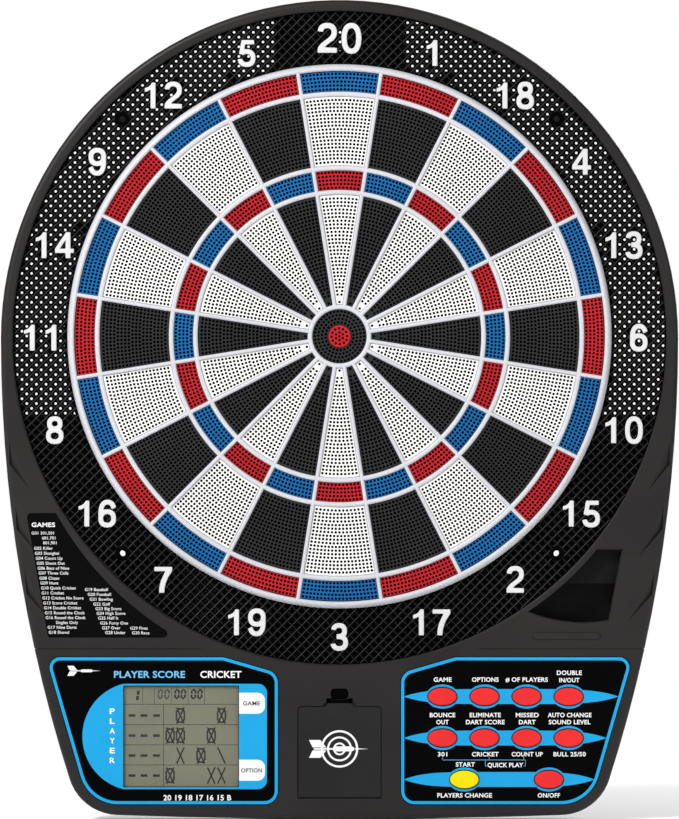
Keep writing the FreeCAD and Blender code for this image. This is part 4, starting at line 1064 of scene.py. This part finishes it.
def seven_segment(build, cx, cz, wide, tall, slot, depth, lean=0.08, parts="abcdef", thick=1.4):
    """One digit from slanted bars, like the display's own."""
    x, z = wide / 2 - thick / 2, tall / 2 - thick / 2
    bars = {"a": ((-x, z), (x, z)), "d": ((-x, -z), (x, -z)), "b": ((x, z), (x, 0)),
            "c": ((x, 0), (x, -z)), "f": ((-x, z), (-x, 0)), "e": ((-x, 0), (-x, -z))}
    for part in parts:
        start, end = [Vector((cx + x + lean * z, cz + z)) for x, z in bars[part]]
        trim = (end - start).normalized() * (thick * 0.72)
        build.stroke([tuple(start + trim), tuple(end - trim)], thick, depth, slot)


def display():
    """Grid lines, score dashes and the marks of the scoring columns."""
    build = Build()
    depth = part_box("lcd_panel")[0].y / -MM + INK_T
    left, right, bottom, top = window()
    wide, tall = right - left, top - bottom

    def line(x0, z0, x1, z1, width, slot=0):
        build.stroke([(left + x0, top - z0), (left + x1, top - z1)], width, depth, slot)

    for z in GRID_ROWS:
        line(0.4, z, wide - 0.4, z, GRID_W)
    line(GRID_COLUMN, GRID_ROWS[0], GRID_COLUMN, tall - 0.4, GRID_W)
    for x in HEAD_COLUMNS:
        line(x, 0.6, x, GRID_ROWS[0] - 0.3, 0.35)
    for x in (FRAME_INSET, wide - FRAME_INSET):
        line(x, FRAME_INSET, x, tall - FRAME_INSET, 0.5)
    for z in (FRAME_INSET, tall - FRAME_INSET):
        line(FRAME_INSET, z, wide - FRAME_INSET, z, 0.5)
    seven_segment(build, left + 9.0, top - 7.2, 5.2, 9.8, 1, depth, 0.14, "bc", 2.0)
    for x, slot in ((26.9, 2), (31.7, 2), (38.9, 1), (43.5, 1), (50.8, 1), (55.4, 1)):
        seven_segment(build, left + x, top - 6.3, 4.0, 7.4, slot, depth)
    for z in MARK_ROWS:
        for x in (6.4, 15.0, 24.0):
            line(x - 1.6, z, x + 1.6, z, 1.8, 1)
    for row, column, mark in MARKS:
        x, z = MARK_COLUMNS[column], MARK_ROWS[row]
        line(x - 2.5, z - 5.4, x + 2.5, z + 5.4, 1.1, 1)
        if mark != "L":
            line(x + 2.5, z - 5.4, x - 2.5, z + 5.4, 1.1, 1)
        if mark == "O":
            for (x0, z0), (x1, z1) in zip(MARK_RING, MARK_RING[1:] + MARK_RING[:1]):
                line(x + x0 * 0.97, z + z0 * 0.97, x + x1 * 0.97, z + z1 * 0.97, 1.2, 1)
    build.piece("lcd_segments", [LCD_LINE, LCD_DARK, LCD_FAINT], "lcd")


display()


# ---- games card and battery door
EMBLEM_Z = -298.0
EMBLEM_RINGS = ((13.5, 12.0), (9.0, 7.6), (4.6, 3.3))
# the painted shade on the tab stands this far off the door's back, and that in the well this far behind the
# deck
TAB_ABOVE_BACK = 1.23
WELL_FACE_SUNK = 1.77
# lines of the card: what it says, and where it starts
CARD_LINES = (
    ("G01 301,501", -222.4, -142.0), ("601,701", -214.8, -145.6), ("801,901", -214.0, -149.1),
    ("G02 Killer", -220.6, -153.0), ("G03 Shanghai", -220.0, -156.6), ("G04 Count Up", -219.4, -160.2),
    ("G05 Shoot Out", -218.7, -163.8), ("G06 Best of Nine", -218.0, -167.4),
    ("G07 Three Calls", -217.3, -170.9), ("G08 Chase", -216.7, -174.6),
    ("G09 Hunt", -216.0, -178.1), ("G10 Quick Cricket", -215.5, -181.7),
    ("G11 Cricket", -215.2, -185.3), ("G12 Cricket No Score", -214.6, -188.9),
    ("G13 Score Cricket", -214.0, -192.5), ("G14 Double Cricket", -213.4, -196.0),
    ("G15 Round the Clock", -212.8, -199.6), ("G16 Round the Clock", -212.2, -203.1),
    ("Singles Only", -204.8, -206.6), ("G17 Nine Darts", -210.8, -210.1),
    ("G18 Shovel", -210.0, -213.7),
    ("G19 Baseball", -183.9, -182.8), ("G20 Football", -181.8, -186.3), ("G21 Bowling", -180.4, -189.8),
    ("G22 Golf", -177.8, -193.3), ("G23 Big Score", -176.2, -196.6), ("G24 High Score", -175.4, -200.0),
    ("G25 Half It", -174.2, -203.4), ("G26 Forty One", -172.8, -207.0), ("G27 Over", -171.4, -210.5),
    ("G28 Under", -169.2, -213.9), ("G29 Fives", -151.2, -210.7), ("G30 Race", -149.8, -214.1),
)


def card_print():
    build = Build()
    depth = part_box("games_card")[0].y / -MM + INK_T
    letter(build, "GAMES", -222.4, -136.0, 3.3, 17.0, 0, depth, True)
    for text, x, z in CARD_LINES:
        letter(build, text, x, z, 2.3, None, 0, depth, True, 0.006)
    build.piece("card_print", [PRINT_WHITE], "card")


def door_emblem():
    """A plain target with a dart across it, printed on the battery door."""
    build = Build()
    low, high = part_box("battery_door")
    depth = -low.y / MM + INK_T
    cx, cz = (low.x + high.x) / 2 / MM, EMBLEM_Z
    for radii in EMBLEM_RINGS:
        far, near = [build.row(circle(cx, cz, radius, 64), depth) for radius in radii]
        build.band(far, near)
    small_dart(build, cx - 0.5, cz, 43.0, 0, depth + INK_T)
    build.piece("door_emblem", [PRINT_WHITE], "panel_print", "battery_door_body")


def dark_faces():
    """Painted shade: black sheets on the door's latch tab and at the bottom of the finger well above it,
    standing in for the shade in the latch slot and in a deeper well.
    """
    tab = Build()
    tab.print_on([(-5.9, -265.9), (5.9, -265.9), (5.9, -262.5), (-5.9, -262.5)],
                 -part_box("battery_door")[1].y / MM + TAB_ABOVE_BACK)
    tab.piece("latch_tab_painted_shade", [LATTICE], "housing", "battery_door_body")
    well = Build()
    low, high = -261.9, -254.5
    well.print_on(rounded([(-6.4, low, 2.9), (6.4, low, 2.9), (6.4, high, 2.9), (-6.4, high, 2.9)]),
                  DECK_FRONT - WELL_FACE_SUNK)
    well.piece("finger_well_painted_shade", [LATTICE], "housing")


card_print()
door_emblem()
dark_faces()


# ---- floor, light and camera
# in metres: the floor's half width, and how far it runs in front of and behind the object
FLOOR_EDGES = (3.0, -2.2, 0.9)
FLOOR_GAP = 0.001
# name, place in metres, size in metres and power in watts
LIGHTS = (
    ("key_light", (-1.7, -2.2, 1.9), 0.9, 98.0),
    ("fill_light", (2.2, -2.4, 0.6), 1.8, 16.0),
    ("back_light", (1.6, 2.6, 1.6), 1.6, 95.0),
)
CAMERA_AWAY = 6.0
PICTURE_SHAPE = 819 / 679
PICTURE_MARGIN = 1.0016


def staging():
    floor_z = CAD_BOX[0][2] - FLOOR_GAP
    mesh = bpy.data.meshes.new("floor")
    side, near, far = FLOOR_EDGES
    mesh.from_pydata([(-side, near, floor_z), (side, near, floor_z), (side, far, floor_z),
                      (-side, far, floor_z)], [], [(0, 1, 2, 3)])
    mesh.materials.append(finish_material("floor_pale", (253, 253, 253), 0.01, (0.8, 0.9), 0.1,
                                          blotch=1.5, relief=0))
    floor = place_object("floor", mesh)

    world = bpy.data.worlds.new("studio")
    bpy.context.scene.world = world
    world.use_nodes = True
    nodes, links = world.node_tree.nodes, world.node_tree.links
    seen = nodes.new("ShaderNodeLightPath")
    share = nodes.new("ShaderNodeMapRange")
    set_inputs(share, {"To Min": 0.35, "To Max": 1.0})
    links.new(seen.outputs["Is Camera Ray"], share.inputs["Value"])
    set_inputs(nodes["Background"], {"Color": (1.0, 1.0, 1.0, 1.0)})
    links.new(share.outputs["Result"], nodes["Background"].inputs["Strength"])

    for name, place, size, power in LIGHTS:
        data = bpy.data.lights.new(name, "AREA")
        data.size = size
        data.energy = power
        light = place_object(name, data)
        light.location = place
        light.visible_camera = False
        aim = Vector((0, 0, -0.05)) - Vector(place)
        light.rotation_euler = aim.to_track_quat("-Z", "Y").to_euler()


def camera():
    """Square on to the target, with a long lens."""
    low, high = CAD_BOX
    data = bpy.data.cameras.new("camera")
    data.sensor_width = 36.0
    tall = PICTURE_SHAPE * (high[0] - low[0]) * PICTURE_MARGIN
    data.lens = data.sensor_width * CAMERA_AWAY / tall
    data.clip_end = 100.0
    lens = place_object("camera", data)
    lens.location = ((low[0] + high[0]) / 2, low[1] - CAMERA_AWAY, (low[2] + high[2]) / 2)
    lens.rotation_euler = (math.pi / 2, 0, 0)
    bpy.context.scene.camera = lens
    bpy.context.scene.view_settings.view_transform = "Standard"


staging()
camera()
